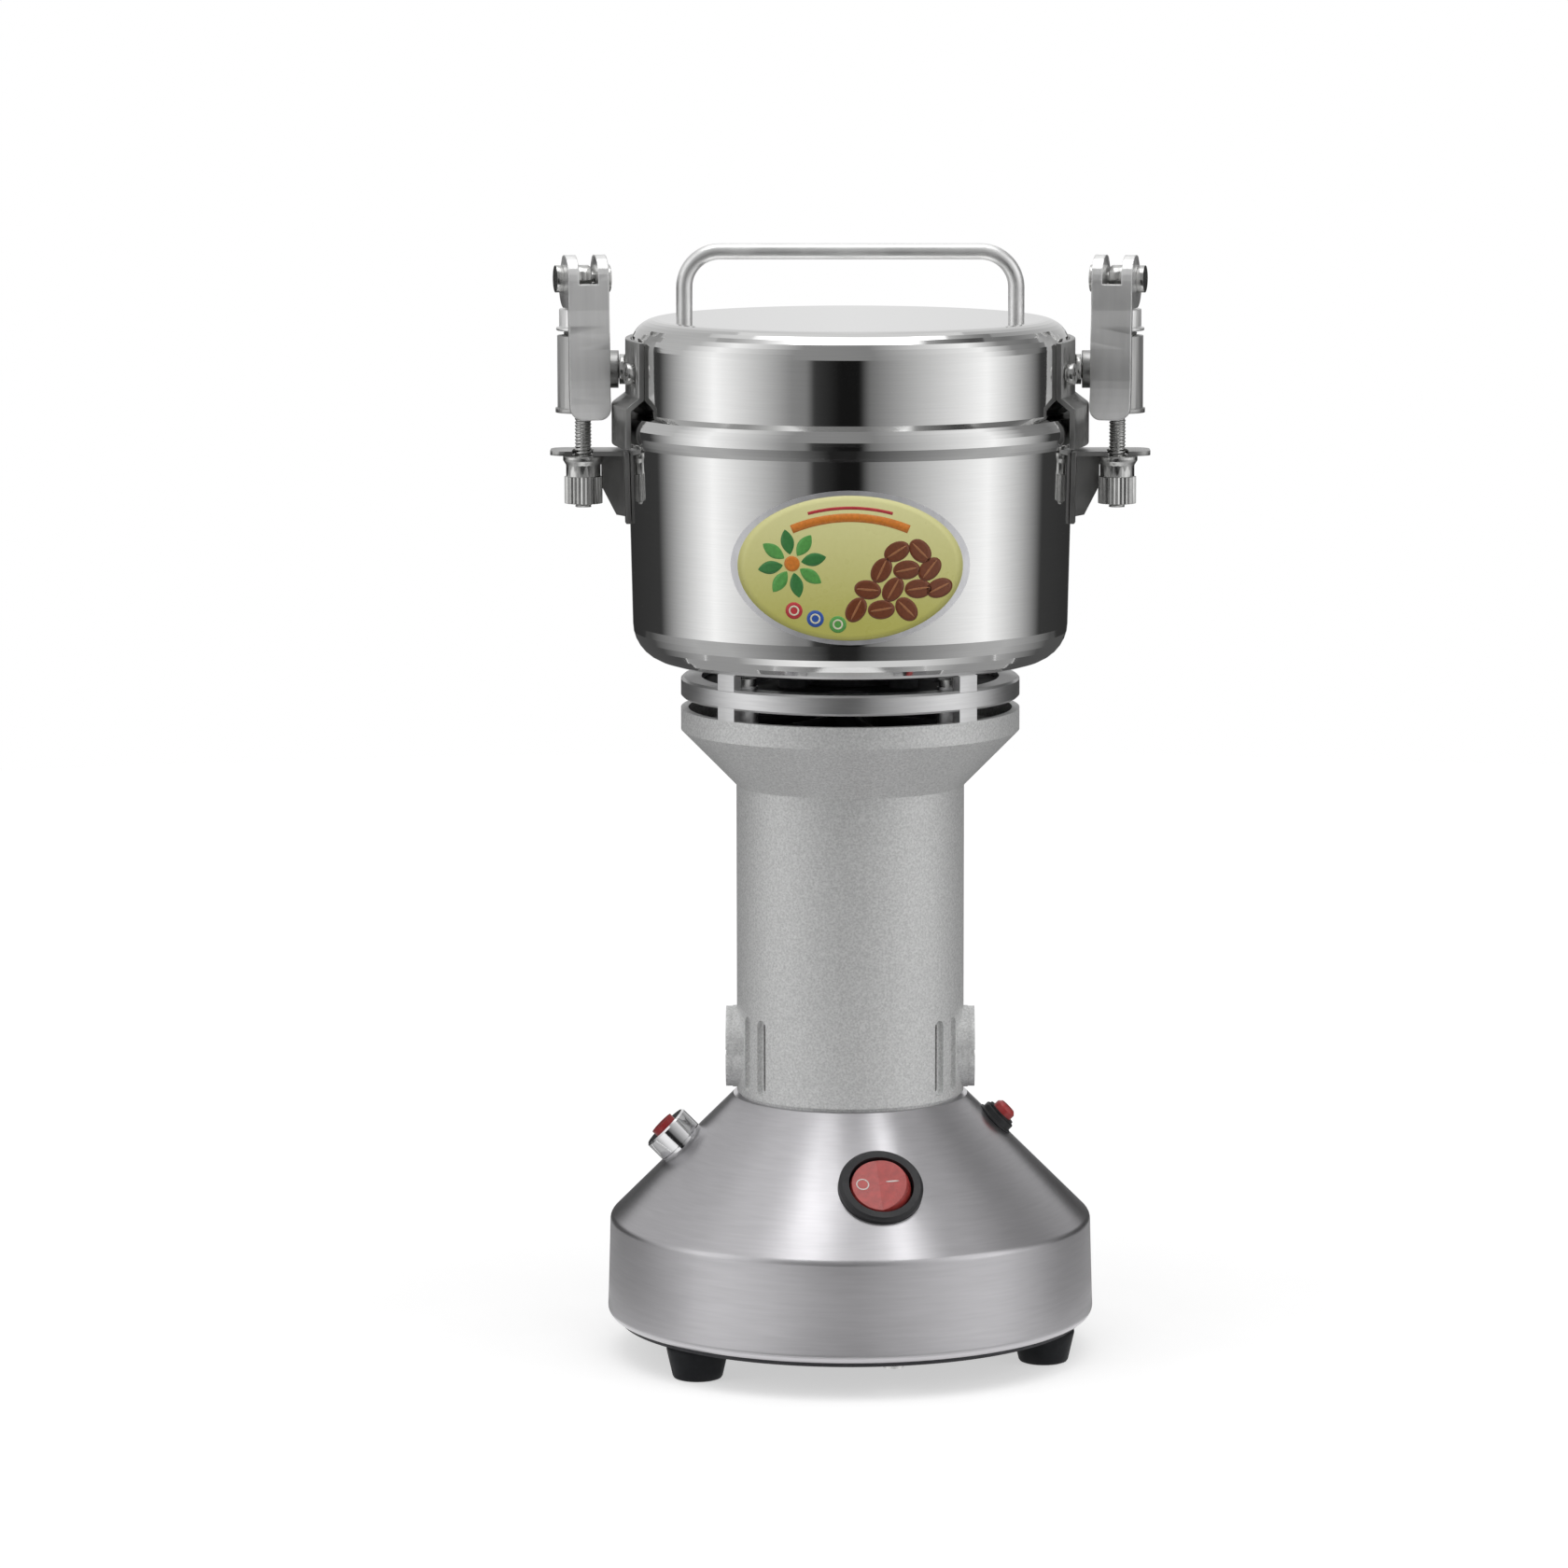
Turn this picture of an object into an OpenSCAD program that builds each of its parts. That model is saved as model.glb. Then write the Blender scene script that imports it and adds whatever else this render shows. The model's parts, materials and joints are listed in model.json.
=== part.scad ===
// Table-top electric grinder: motor column on a round base, blade bowl, lid with two cam-lever clamps.
// Millimetres, +Z up, front at -Y. The origin is on the table, under the motor axis.

/* [Base] */
// Outer radius of the base at its lower edge
base_r = 65.5; // [62:0.5:72]
// Outer radius of the base at its shoulder
shoulder_r = 64.8; // [62:0.2:72]
// Height of the base's lower edge above the table
base_z = 10; // [9:0.5:14]
// Height of the straight wall, from the lower edge to the shoulder bend
base_wall_h = 25.9; // [22:0.1:32]
// Slope of the base cone, degrees
cone_slope = 45; // [42:1:48]
// Sheet thickness of the base
base_t = 1.5; // [1.2:0.1:2]
// Outer radius of the bends at the shoulder and at the lower edge
base_bend = 2.5; // [2.2:0.1:4]
// Width of the flange under the base, from the outside
base_flange_w = 16; // [15:0.5:18]
// Radius of the opening under the motor column
base_hole_r = 21; // [18:0.5:22]
// Thickness of the bottom plate
plate_t = 1.2; // [1:0.1:2]
// Distance of the feet from the axis
foot_pos_r = 54.5; // [53:0.5:56]
// Angle of the right front foot
foot_angle = -18; // [-40:1:20]
// Radius of a foot at the table
foot_r = 6.5; // [6:0.1:7.5]
// Radius of a foot at the bottom plate
foot_top_r = 8.5; // [7.6:0.1:9]
// Thickness of rubber above a foot's screw head
foot_web = 2.3; // [2:0.1:2.6]

/* [Controls] */
// Turn of the rocker switch round the base, from the front to the right
switch_angle = 9.5; // [-20:0.5:25]
// Distance of the rocker switch from the axis
switch_pos_r = 48.3; // [46:0.1:50]
// Radius of the switch bezel
bezel_r = 11.2; // [10.8:0.1:12]
// Height of the switch bezel above its seat
bezel_h = 3; // [2.4:0.1:3.6]
// Radius of the switch body behind the bezel
switch_body_r = 9.9; // [9.6:0.1:10.4]
// Depth of the switch body behind its seat
switch_body_h = 15; // [13:0.5:18]
// Radius of the bezel's opening for the rocker
rocker_hole_r = 8.6; // [8.2:0.1:8.8]
// Tilt of the rocker at each side
rocker_tilt = 9; // [6:0.5:10]
// Height of the rocker's wings above its pivot
rocker_wing_h = 4.4; // [4:0.1:5]
// Height of the rocker's middle above its pivot
rocker_mid_h = 3; // [2.6:0.1:3.4]
// Radius of the rocker's pivot stubs
rocker_stub_r = 1.2; // [1:0.1:1.4]
// Distance of the push button from the axis
pulse_pos_r = 45.5; // [43:0.1:48]
// Thickness of the flange under the push button's metal ring
pulse_flange_t = 1; // [0.8:0.1:1.4]
// Radius of the push button's metal ring
pulse_ring_r = 6.8; // [6.4:0.1:7.4]
// Height of the push button's metal ring
pulse_ring_h = 5.7; // [5:0.1:7]
// Radius of the push button's barrel in the base
pulse_barrel_r = 5.4; // [5:0.1:5.8]
// Length of the push button's barrel behind its seat
pulse_barrel_h = 16; // [12:0.5:20]
// Radius of the red push cap
pulse_cap_r = 3.4; // [3:0.1:3.8]
// Height of the push cap above its ring
pulse_cap_h = 1.3; // [1.1:0.1:1.6]
// Distance of the overload reset from the axis
reset_pos_r = 39; // [38:0.1:43]
// Radius of the overload reset's nut
reset_nut_r = 5.4; // [5:0.1:6]
// Height of the overload reset's nut
reset_nut_h = 2.6; // [2:0.1:3.2]
// Radius of the overload reset's bush
reset_bush_r = 4; // [3.8:0.1:4.3]
// Radius of the red reset button
reset_button_r = 3; // [2.6:0.1:3.2]
// Height of the reset button above its bush
reset_button_h = 2.6; // [1.8:0.1:3]
// Side of the breaker's square body
breaker_w = 13; // [11:0.5:14]
// Depth of the breaker's body behind the base
breaker_h = 14; // [12:0.5:18]
// Height of the cord gland above the table
gland_z = 24; // [21:0.5:27]
// Radius of the cord gland's flange
gland_flange_r = 7.5; // [7:0.1:8]
// Radius of the cord gland's neck
gland_neck_r = 5.5; // [5:0.1:6]
// Radius of the cord gland's bore
gland_bore_r = 3.6; // [3.2:0.1:4]
// Thickness of the cord gland's outer flange
gland_flange_t = 2; // [1.5:0.1:2.5]
// Length of the cord gland's inner nut
gland_nut_h = 5; // [4:0.5:7]

/* [Motor housing] */
// Outer radius of the motor column
column_r = 30.5; // [30:0.1:31.5]
// Wall of the motor column
column_t = 2.5; // [2:0.1:3]
// Length of the motor column, up to its cone
column_h = 84; // [83:0.5:88]
// Outer radius of the cup and of the cooling ring
cup_r = 45.25; // [44.5:0.25:47]
// Height of the cone between column and cup
cup_cone_h = 15; // [14:0.5:17]
// Height of the cup's straight band
cup_band_h = 5.8; // [5:0.1:7]
// Wall of the cup
cup_t = 2; // [1.6:0.1:2.4]
// Gap between the base's lip and the column
lip_gap = 1; // [0.6:0.1:1.5]
// Height of the shadow groove at the foot of the column
groove_h = 0.9; // [0.6:0.1:1.2]
// Thickness of the web that closes the column
web_t = 3.5; // [3:0.1:4.5]
// Height of the brush caps above the foot of the column
brush_z = 12.6; // [12:0.1:14]
// Radius of the brush bosses
brush_boss_r = 11; // [10:0.1:11.2]
// Height of the brush bosses above the column's surface
brush_boss_h = 1.1; // [0.8:0.1:1.6]
// Thickness of the brush caps
brush_cap_t = 1.8; // [1.5:0.1:2.4]
// Width of the air slots
slot_w = 3.5; // [3:0.1:4]
// Length of the air slots
slot_h = 20.4; // [16:0.2:21]
// Depth of the air slots' recess
slot_deep = 1.3; // [1:0.1:1.6]
// Width of the slit through the recess
slit_w = 1.2; // [0.8:0.1:1.6]
// Angle of the inner air slots from a brush cap
slot_angle = 26; // [26:0.5:28]
// Angle between neighbouring air slots
slot_pitch = 13; // [12:0.5:15]

/* [Cooling frame] */
// Gap between the cup and the cooling ring
ring_gap = 3; // [2.5:0.1:3.5]
// Height of the cooling ring
ring_h = 5.4; // [5:0.1:6]
// Radial width of the cooling ring
ring_w = 5.5; // [5:0.1:6]
// Height of the posts between ring and bowl
post_h = 4.4; // [4:0.1:5]
// Width of the posts round the ring
post_w = 6.3; // [5:0.1:8]
// Radial thickness of the posts
post_t = 2.8; // [2.2:0.1:3]
// Angle of the right front post
post_angle = -46.5; // [-60:0.5:-30]
// Distance of the frame's fixing lugs from the axis
lug_pos_r = 38.6; // [38.4:0.1:38.8]
// Radius of the frame's fixing lugs
lug_r = 3.8; // [3.6:0.1:3.9]
// Depth of the fixing lugs below the ring
lug_h = 5; // [4.5:0.1:5.5]
// Thickness of the bearing bridge's plate
bridge_t = 3; // [2.5:0.1:3.5]
// Distance of the bowl screws from the axis
bowl_screw_pos_r = 20.5; // [19:0.1:22]

/* [Motor] */
// Radius of the motor shaft
shaft_r = 4; // [3.5:0.1:4.4]
// Outer radius of both bearings
bearing_r = 11; // [10:0.5:11.5]
// Width of both bearings
bearing_w = 7; // [6:0.5:7.5]
// Wall of the bearing seats
bearing_wall = 2.5; // [2:0.1:3]
// Length of the stator and armature stacks
stack_h = 38; // [34:0.5:40]
// Height of the stacks above the foot of the column
stack_z = 28; // [28:0.5:30]
// Radius of the armature core
armature_r = 14.9; // [14:0.1:15.2]
// Air gap between armature and stator
air_gap = 0.5; // [0.4:0.05:0.8]
// Radial thickness of the stator's outer ring
yoke_t = 5.5; // [5:0.1:6]
// Half angle of the windows between the stator's poles
window_angle = 38; // [30:1:42]
// Length of the coil ends beyond the stacks
coil_end_h = 7.5; // [6:0.1:7.6]
// Radius of the armature's end windings
winding_r = 13.3; // [12:0.1:13.8]
// Radius of the commutator
commutator_r = 9; // [8:0.1:10]
// Length of the commutator
commutator_h = 15; // [14:0.5:15.5]
// Side of the square carbon brushes
brush_w = 6.2; // [5.4:0.1:6.6]
// Radius of the brush holders
holder_r = 6.4; // [6.1:0.1:6.6]
// Gap between brush and commutator
brush_gap = 0.3; // [0.2:0.05:0.4]
// Length of a carbon brush
brush_len = 14; // [12:0.5:15]
// Radius of the fan
fan_r = 34; // [30:0.5:34]
// Height of the fan blades
fan_h = 8; // [6:0.5:8.5]
// Number of fan blades
fan_count = 9; // [7:1:12]

/* [Bowl] */
// Outer radius of the bowl above its bottom bend
bowl_r = 58; // [57:0.1:58.4]
// Outer radius of the bowl below its bead
bowl_top_r = 59.2; // [58.5:0.1:59.3]
// Height of the bowl
bowl_h = 63.4; // [58:0.1:68]
// Sheet thickness of the bowl
bowl_t = 1.2; // [1:0.1:1.5]
// Outer radius of the bowl's bottom bend
bowl_bend = 10; // [8:0.5:12]
// How far the bead at the bowl's mouth stands out
bead_w = 0.6; // [0.4:0.05:0.7]
// Height of the bead
bead_h = 2.4; // [2:0.1:3]
// Radius of the hole for the shaft seal
seal_hole_r = 7; // [6.6:0.1:7.5]
// Width of the label, along its chord
label_w = 62; // [50:1:66]
// Height of the label
label_h = 40; // [34:1:44]
// Height of the label's centre above the bottom of the bowl
label_z = 30.5; // [29:0.5:32]
// Thickness of the label
label_t = 0.4; // [0.3:0.05:0.6]

/* [Blades] */
// Thickness of each blade
blade_t = 1.5; // [1.2:0.1:1.8]
// Tip radius of the long blade
blade_lower_r = 50; // [44:0.5:52]
// Tip radius of the middle blade
blade_middle_r = 39; // [34:0.5:44]
// Tip radius of the upper blade
blade_upper_r = 31; // [26:0.5:36]
// Radius of the blade hubs
blade_hub_r = 9; // [8.5:0.1:10]
// Width of the two flat blades at the hub
blade_w = 14; // [12:0.5:16]
// Width of the upper blade
blade_bar_w = 9; // [8:0.5:10]
// Rise of the upper blade's tips, degrees
blade_rise = 25; // [15:1:35]
// Height of the shaft's collar below the blades
collar_h = 3; // [2.5:0.1:4]
// Radius of the shaft's collar
collar_r = 7; // [6.5:0.1:8]
// Radius of the blade nut, over its corners
blade_nut_r = 7.5; // [7:0.1:8]
// Height of the blade nut
blade_nut_h = 6.5; // [5.5:0.1:7]

/* [Lid] */
// Outer radius of the lid's side
lid_r = 58.25; // [57.5:0.05:58.4]
// Height of the lid's top above the mouth of the bowl
lid_h = 27.5; // [26:0.5:30]
// Sheet thickness of the lid
lid_t = 1.2; // [1:0.1:1.4]
// Outer radius of the bend round the lid's top
lid_bend = 7; // [5:0.5:8]
// Outer radius of the lid's rim band
rim_r = 61.25; // [61.2:0.05:61.6]
// Radius of the rim band's bulge
rim_bulge = 9; // [8:0.5:12]
// Height of the rim band
rim_h = 7.8; // [7:0.1:8.5]
// Height of the rim band's middle below the mouth of the bowl
rim_drop = 1.5; // [1.2:0.1:1.8]
// Thickness of the lid seal
seal_t = 1.3; // [1.2:0.05:1.35]
// Rod radius of the handle
handle_rod_r = 2.15; // [1.8:0.05:2.5]
// Span of the handle between its legs
handle_span = 88; // [76:1:92]
// Height of the handle above the lid, to the middle of its rod
handle_h = 17.7; // [16:0.1:22]
// Bend radius of the handle, at the middle of its rod
handle_bend = 9.5; // [7:0.5:12]

/* [Clamps] */
// Distance of the clamp axes from the motor axis
clamp_x = 71; // [70.9:0.1:72]
// Height of a clamp's pivot above the mouth of the bowl
pivot_z = 14; // [13.5:0.1:15]
// Half angle of the lid brackets
bracket_angle = 22; // [20:0.5:24]
// Angle of the bracket screws from the clamp
bracket_screw_angle = 17; // [15.5:0.5:18]
// Thickness of the lid brackets
bracket_t = 1.4; // [1.2:0.1:1.5]
// Height of the bracket's upper edge above the pivot
bracket_top = 8.5; // [7.5:0.1:9]
// Radius of the pivot rivets
rivet_r = 2.5; // [2.2:0.1:2.8]
// Radius of the sleeve's pivot boss
pivot_boss_r = 5; // [4.5:0.1:5.4]
// Outer radius of the sleeve
sleeve_r = 6.75; // [6.5:0.05:6.8]
// Wall of the sleeve
sleeve_t = 0.95; // [0.8:0.05:1.1]
// Length of the sleeve above its floor
sleeve_h = 18; // [16:0.5:19]
// Thickness of the sleeve's floor flange
sleeve_floor_t = 2.4; // [2:0.1:2.8]
// How far the floor flange stands out from the sleeve
sleeve_lip = 0.55; // [0.4:0.05:0.6]
// Wire radius of the clamp spring
spring_wire_r = 0.6; // [0.5:0.05:0.7]
// Outer radius of the clamp spring
spring_r = 5.1; // [4.9:0.05:5.2]
// Number of turns of the clamp spring
spring_turns = 6; // [5:1:7]
// Gap between the sleeve and the spring hat
hat_gap = 1.3; // [1:0.1:1.6]
// Radius of the spring hat's brim
hat_brim_r = 7; // [6.8:0.1:7.2]
// Thickness of the spring hat's brim
hat_brim_t = 0.9; // [0.8:0.1:1.2]
// Radius of the spring hat's crown
hat_crown_r = 6.2; // [5.6:0.1:6.4]
// Height of the spring hat, brim and crown
hat_h = 5.8; // [5.2:0.1:6.4]
// Radius of the threaded rod
rod_r = 2.25; // [2:0.05:2.4]
// Radius of the rod's eye
eye_r = 3.6; // [3.4:0.1:3.7]
// Width of the rod's eye
eye_w = 4; // [3.6:0.1:4.4]
// Radius of the lever pin
pin_r = 2; // [1.8:0.05:2.1]
// Radius of the lever pin's heads
pin_head_r = 3.6; // [3:0.1:3.7]
// Thickness of the lever pin's heads
pin_head_t = 1.8; // [1.4:0.1:2.2]
// Thickness of the lever's ears
ear_t = 2.9; // [2.6:0.1:3.2]
// Height of the pin above the spring hat
cam_h = 7.9; // [7.8:0.1:8.4]
// Turn of the lever from closed to open, degrees
lever_turn = 120; // [100:5:120]
// Turn of the lever about its rod, towards the lid
lever_yaw = 13; // [0:1:14]
// Drop of the rod as the lever opens
rod_drop = 3.8; // [3.4:0.1:3.8]
// Length of the lever below its pin
lever_len = 36.7; // [34:0.1:38]
// Thickness of the lever's plate
lever_t = 1.6; // [1.4:0.1:2]
// Gap between the lever's plate and the hat's brim
lever_gap = 0.9; // [0.7:0.1:1.2]
// How far the lever's end stands out
lever_flare = 3; // [2:0.1:4]
// How far the lever's plate bows out below its crease
lever_bow = 0.9; // [0.6:0.1:1.2]
// Corner radius at the lever's lower end
lever_end_r = 3.3; // [2.5:0.1:4]
// Radius of the knurled nut
nut_r = 5.1; // [4.8:0.1:5.2]
// Radius of the nut's collar
nut_collar_r = 5.4; // [5.2:0.1:5.5]
// Radius of the nut's smooth neck
nut_neck_r = 4.6; // [4.2:0.1:4.7]
// Height of the nut's collar
nut_collar_h = 2.6; // [2:0.1:3]
// Height of the nut's smooth neck
nut_neck_h = 3; // [2.5:0.1:3.5]
// Height of the nut's knurled part
nut_knurl_h = 7.2; // [6:0.1:8]
// Number of ridges on the nut
nut_ridges = 28; // [20:1:32]
// Height of the hooks' underside below the mouth of the bowl
hook_drop = 8.6; // [8.3:0.1:9.2]
// Sheet thickness of the hooks
hook_t = 1.2; // [1:0.1:1.4]
// Reach of the hooks beyond the clamp axis
hook_reach = 8.7; // [8:0.1:9.5]
// Reach of the hooks' prongs from the clamp axis, to the front
hook_prong = 6.5; // [6:0.1:6.5]
// Width of the hooks' slot
hook_slot_w = 5.6; // [5.4:0.1:5.8]
// Height of the hooks' back plate
hook_back_h = 19; // [16:0.5:21]
// Half angle of the hooks' back plate
hook_angle = 9; // [8:0.5:11]

/* [Fasteners and fits] */
// Shank radius of the small screws
screw_r = 1.5; // [1.4:0.05:1.6]
// Shank length of the small screws
screw_len = 4.5; // [4.2:0.1:4.9]
// Head radius of the small screws
screw_head_r = 2.8; // [2.6:0.1:3]
// Head height of the small screws
screw_head_h = 2; // [1.8:0.1:2.2]
// Shank radius of the bowl screws
bowl_screw_r = 1.9; // [1.8:0.05:2]
// Head radius of the bowl screws
bowl_screw_head_r = 3.4; // [3.2:0.1:3.8]
// Running clearance of shafts, pins and push caps
run_fit = 0.05; // [0.03:0.01:0.08]
// Clearance of parts that sit in one another
seat_fit = 0.1; // [0.05:0.01:0.15]
// Clearance between moving parts
free_fit = 0.3; // [0.3:0.05:0.4]
// Clearance of screw holes in covers
screw_fit = 0.2; // [0.15:0.05:0.3]

/* [Hidden] */
$fn = 96;
eps = 0.01;
big = 200;
bend_steps = 8;

// Colours
steel_colour = [0.78, 0.78, 0.77];
silver_colour = [0.72, 0.73, 0.74];
dark_colour = [0.10, 0.10, 0.11];
red_colour = [0.72, 0.16, 0.15];
copper_colour = [0.72, 0.40, 0.22];
brass_colour = [0.78, 0.62, 0.30];
iron_colour = [0.35, 0.36, 0.38];
label_colour = [0.72, 0.78, 0.25];

// Heights, from the table up
shoulder_z = base_z + base_wall_h;
// Outer radius of the base's wall at a height, between its two bends
function wall_r_at(z) =
    base_r + (shoulder_r - base_r) * (z - base_z - base_bend) / (base_wall_h - base_bend);
gland_out_r = max(wall_r_at(gland_z - gland_flange_r), wall_r_at(gland_z + gland_flange_r));
gland_in_r = min(wall_r_at(gland_z - gland_flange_r), wall_r_at(gland_z + gland_flange_r)) - base_t;
cone_start = [shoulder_r - base_bend + base_bend * sin(cone_slope), shoulder_z + base_bend * cos(cone_slope)];
lip_r = column_r + lip_gap;
column_z = cone_start.y + (cone_start.x - lip_r) * tan(cone_slope);
cup_cone_z = column_z + column_h;
cup_band_z = cup_cone_z + cup_cone_h;
cup_top_z = cup_band_z + cup_band_h;
ring_z = cup_top_z + ring_gap;
ring_top_z = ring_z + ring_h;
bowl_z = ring_top_z + post_h;
mouth_z = bowl_z + bowl_h;
lid_top_z = mouth_z + lid_h;

// Base
plate_z = base_z - plate_t;
foot_angles = [foot_angle, foot_angle + 120, foot_angle + 240];
plate_screw_angles = [for (a = foot_angles) a + 60];
plate_rim = 3;
plate_r = base_r - plate_rim;
base_flange_r = base_r - base_flange_w;
foot_recess_r = screw_head_r + 1;
column_screw_pos_r = (base_hole_r + column_r) / 2;
column_screw_angles = [45, 135, 225, 315];

// Controls, seated on flats sunk into the cone
seat_wall = 1.3;
seat_t = 2;
push_az = 180;
reset_az = 0;
switch_az = switch_angle - 90;
rocker_r = rocker_hole_r - free_fit;
rocker_axis_z = -0.4;
rocker_base_w = 6.5;
switch_floor_t = 2;
terminal = [1, 5, 7];
pulse_groove = 0.3;
pulse_ring_z = pulse_flange_t + pulse_groove;
pulse_top_z = pulse_ring_z + pulse_ring_h;
pulse_travel = pulse_cap_h - free_fit;
pulse_cap_len = 9;
reset_flange_t = 0.9;
reset_step = 0.7;
reset_button_len = 8;

// Motor housing
column_in_r = column_r - column_t;
web_top_z = column_z + web_t;
seat_r = bearing_r + seat_fit;
seat_out_r = bearing_r + bearing_wall;
bearing_floor_t = 1.5;
bearing_hole_r = shaft_r + 2;
low_bearing_z = column_z - bearing_w + 0.5;
boss_z = low_bearing_z - bearing_floor_t;
brush_axis_z = column_z + brush_z;
boss_x = column_r + brush_boss_h;
boss_in_x = column_in_r - 2;
post_angles = [for (i = [0:3]) post_angle + 90 * i];
lug_z = ring_z - lug_h;
lug_base_z = cup_cone_z + (lug_pos_r + lug_r - column_r) * cup_cone_h / (cup_r - column_r) + 0.2;
frame_screw_end_z = lug_base_z + 1.2;
lug_top_z = ring_top_z + 0.4;
web_hole_r = 3.4;
web_hole_pos_r = (seat_out_r + column_in_r) / 2;

// Cooling frame
ring_bevel = 0.6;
ring_in_r = cup_r - ring_w;
ledge_w = 1.5;
post_step = 0.1;
bridge_z = ring_z + 1;
bridge_boss_r = bowl_screw_r + 2.1;
bridge_hole_r = 5.5;
bridge_hole_pos_r = 27.5;
high_bearing_z = ring_z + 0.3;
high_seat_top_z = high_bearing_z + bearing_w + 0.1;

// Motor
stack_low_z = column_z + stack_z;
stack_top_z = stack_low_z + stack_h;
stator_r = column_in_r - seat_fit;
stator_bore_r = armature_r + air_gap;
yoke_r = stator_r - yoke_t;
coil_r = yoke_r - 0.4;
coil_bore_r = stator_bore_r + 1;
coil_fit = 0.5;
winding_h = coil_end_h - 0.8;
commutator_z = web_top_z + 1.6;
holder_in_x = commutator_r + 1.5;
holder_out_x = boss_x - 1.6;
brush_x = commutator_r + brush_gap;
brush_spring_r = 2.7;
brush_spring_wire_r = 0.35;
brush_spring_turns = 5;
fan_z = cup_cone_z + 10;
fan_hub_r = 10;
fan_plate_t = 1.5;
fan_blade_t = 1.2;

// Bowl and blades
bowl_floor_z = bowl_z + bowl_t;
bowl_wall_z = bowl_z + bowl_bend;
bead_z = mouth_z - bead_h;
seal_flange_r = 9.5;
seal_flange_t = 1.8;
collar_z = bowl_floor_z + seal_flange_t + 1;
blade_z = collar_z + collar_h;
blade_step = blade_t + 0.05;
blade_flat = 3;
blade_nut_z = blade_z + 3 * blade_step;
shaft_top_z = blade_nut_z + blade_nut_h + 2;
shaft_low_z = low_bearing_z + 0.2;
bowl_screw_head_h = 2;
bowl_screw_len = bowl_t + post_h + bridge_t;

// Lid
rim_mid_z = mouth_z - rim_drop;
rim_axis_r = rim_r - rim_bulge;
rim_half_angle = asin(rim_h / 2 / rim_bulge);
seal_in_r = bowl_top_r - bowl_t - 0.4;
seal_out_r = bowl_top_r + 0.1;
step_z = mouth_z + 3.6;

// Clamps
pivot_abs_z = mouth_z + pivot_z;
bracket_in_r = lid_r + run_fit;
bracket_out_r = bracket_in_r + bracket_t;
lip_in_r = rim_r + 0.75;
lip_out_r = lip_in_r + bracket_t;
lip_low_z = rim_mid_z - rim_h / 2;
sleeve_z = pivot_abs_z - sleeve_h / 2;
sleeve_floor_z = sleeve_z - sleeve_floor_t;
sleeve_top_z = sleeve_z + sleeve_h;
sleeve_in_r = sleeve_r - sleeve_t;
rod_hole_r = rod_r + free_fit + 0.05;
hat_z = sleeve_top_z + hat_gap;
hat_top_z = hat_z + hat_h;
hat_guide_r = rod_hole_r + 0.8;
hat_guide_h = 7;
pin_z = hat_top_z + cam_h;
cam_r = cam_h - free_fit;
cam_rate = rod_drop / (lever_turn * PI / 180);
cam_steps = 12;
ear_x = max(eye_w / 2, rod_r) + free_fit;
lever_half_w = ear_x + ear_t;
lever_in_y = hat_brim_r + lever_gap;
lever_out_y = lever_in_y + lever_t;
ear_round = 6.5;
lever_crease = cam_h;
plate_steps = 14;
bow_share = 0.5;
flare_share = 0.6;
rivet_flange_r = 4;
rivet_flange_x = bracket_out_r + 0.05;
boss_face_x = clamp_x - sleeve_r - 2.7;
rivet_tip_x = clamp_x - sleeve_in_r - 1;
hook_z = mouth_z - hook_drop;
nut_z = hook_z - free_fit;
rod_low_z = nut_z - nut_collar_h - nut_neck_h - nut_knurl_h - 1;
knurl_depth = 0.35;
gusset_y = nut_collar_r + 0.5;
gusset_foot_in = 8.5;
gusset_out_in = 4.5;
gusset_foot_x = clamp_x - gusset_foot_in;
gusset_out_x = clamp_x - gusset_out_in;
gusset_out_drop = 9;
spring_len = hat_z - sleeve_z - 0.2;

// Points of an arc about c, from angle a0 to angle a1
function arc(c, r, a0, a1) =
    [for (i = [0:bend_steps]) let (a = a0 + (a1 - a0) * i / bend_steps) c + r * [cos(a), sin(a)]];

// Height of the cone's outer surface at a distance from the axis
function cone_z(r) = cone_start.y + (cone_start.x - r) * tan(cone_slope);

// Depth at which a flat of radius r lies wholly inside the cone's outer surface
function seat_depth(r, pos_r) = r * r * sin(cone_slope) / (2 * pos_r) + 0.05;

// Outer radius of the bowl's wall at a height
function bowl_r_at(z) = bowl_r + (bowl_top_r - bowl_r) * (z - bowl_wall_z) / (bead_z - bowl_wall_z);

// Places children on the cone, with +Z along its normal and +Y to the right of someone who faces it
module on_cone(az, pos_r) {
    rotate([0, 0, az])
        translate([pos_r, 0, cone_z(pos_r)])
            rotate([0, cone_slope, 0])
                children();
}

// Tube between two heights
module tube(r_out, r_in, z0, z1) {
    translate([0, 0, z0])
        difference() {
            cylinder(r = r_out, h = z1 - z0);
            translate([0, 0, -eps]) cylinder(r = r_in, h = z1 - z0 + 2 * eps);
        }
}

// Cylinder along +X between two places
module x_cylinder(r, x0, x1) {
    translate([x0, 0, 0]) rotate([0, 90, 0]) cylinder(r = r, h = x1 - x0);
}

// Solid of a flat outline in Y and Z, with its width along X
module side_plate(x0, x1, points) {
    translate([x0, 0, 0]) rotate([90, 0, 90]) linear_extrude(x1 - x0) polygon(points);
}

// Pan-head screw with a cross recess: shank along +Z from z = 0, head below
module screw(r, len, head_r, head_h) {
    recess_w = head_r * 0.3;
    recess_l = head_r * 1.2;
    difference() {
        union() {
            cylinder(r = r, h = len);
            translate([0, 0, -head_h]) cylinder(r = head_r, h = head_h);
        }
        for (a = [0, 90])
            rotate([0, 0, a])
                translate([-recess_l / 2, -recess_w / 2, -head_h - eps])
                    cube([recess_l, recess_w, head_h / 2]);
    }
}

module small_screw() {
    screw(screw_r, screw_len, screw_head_r, screw_head_h);
}

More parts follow.
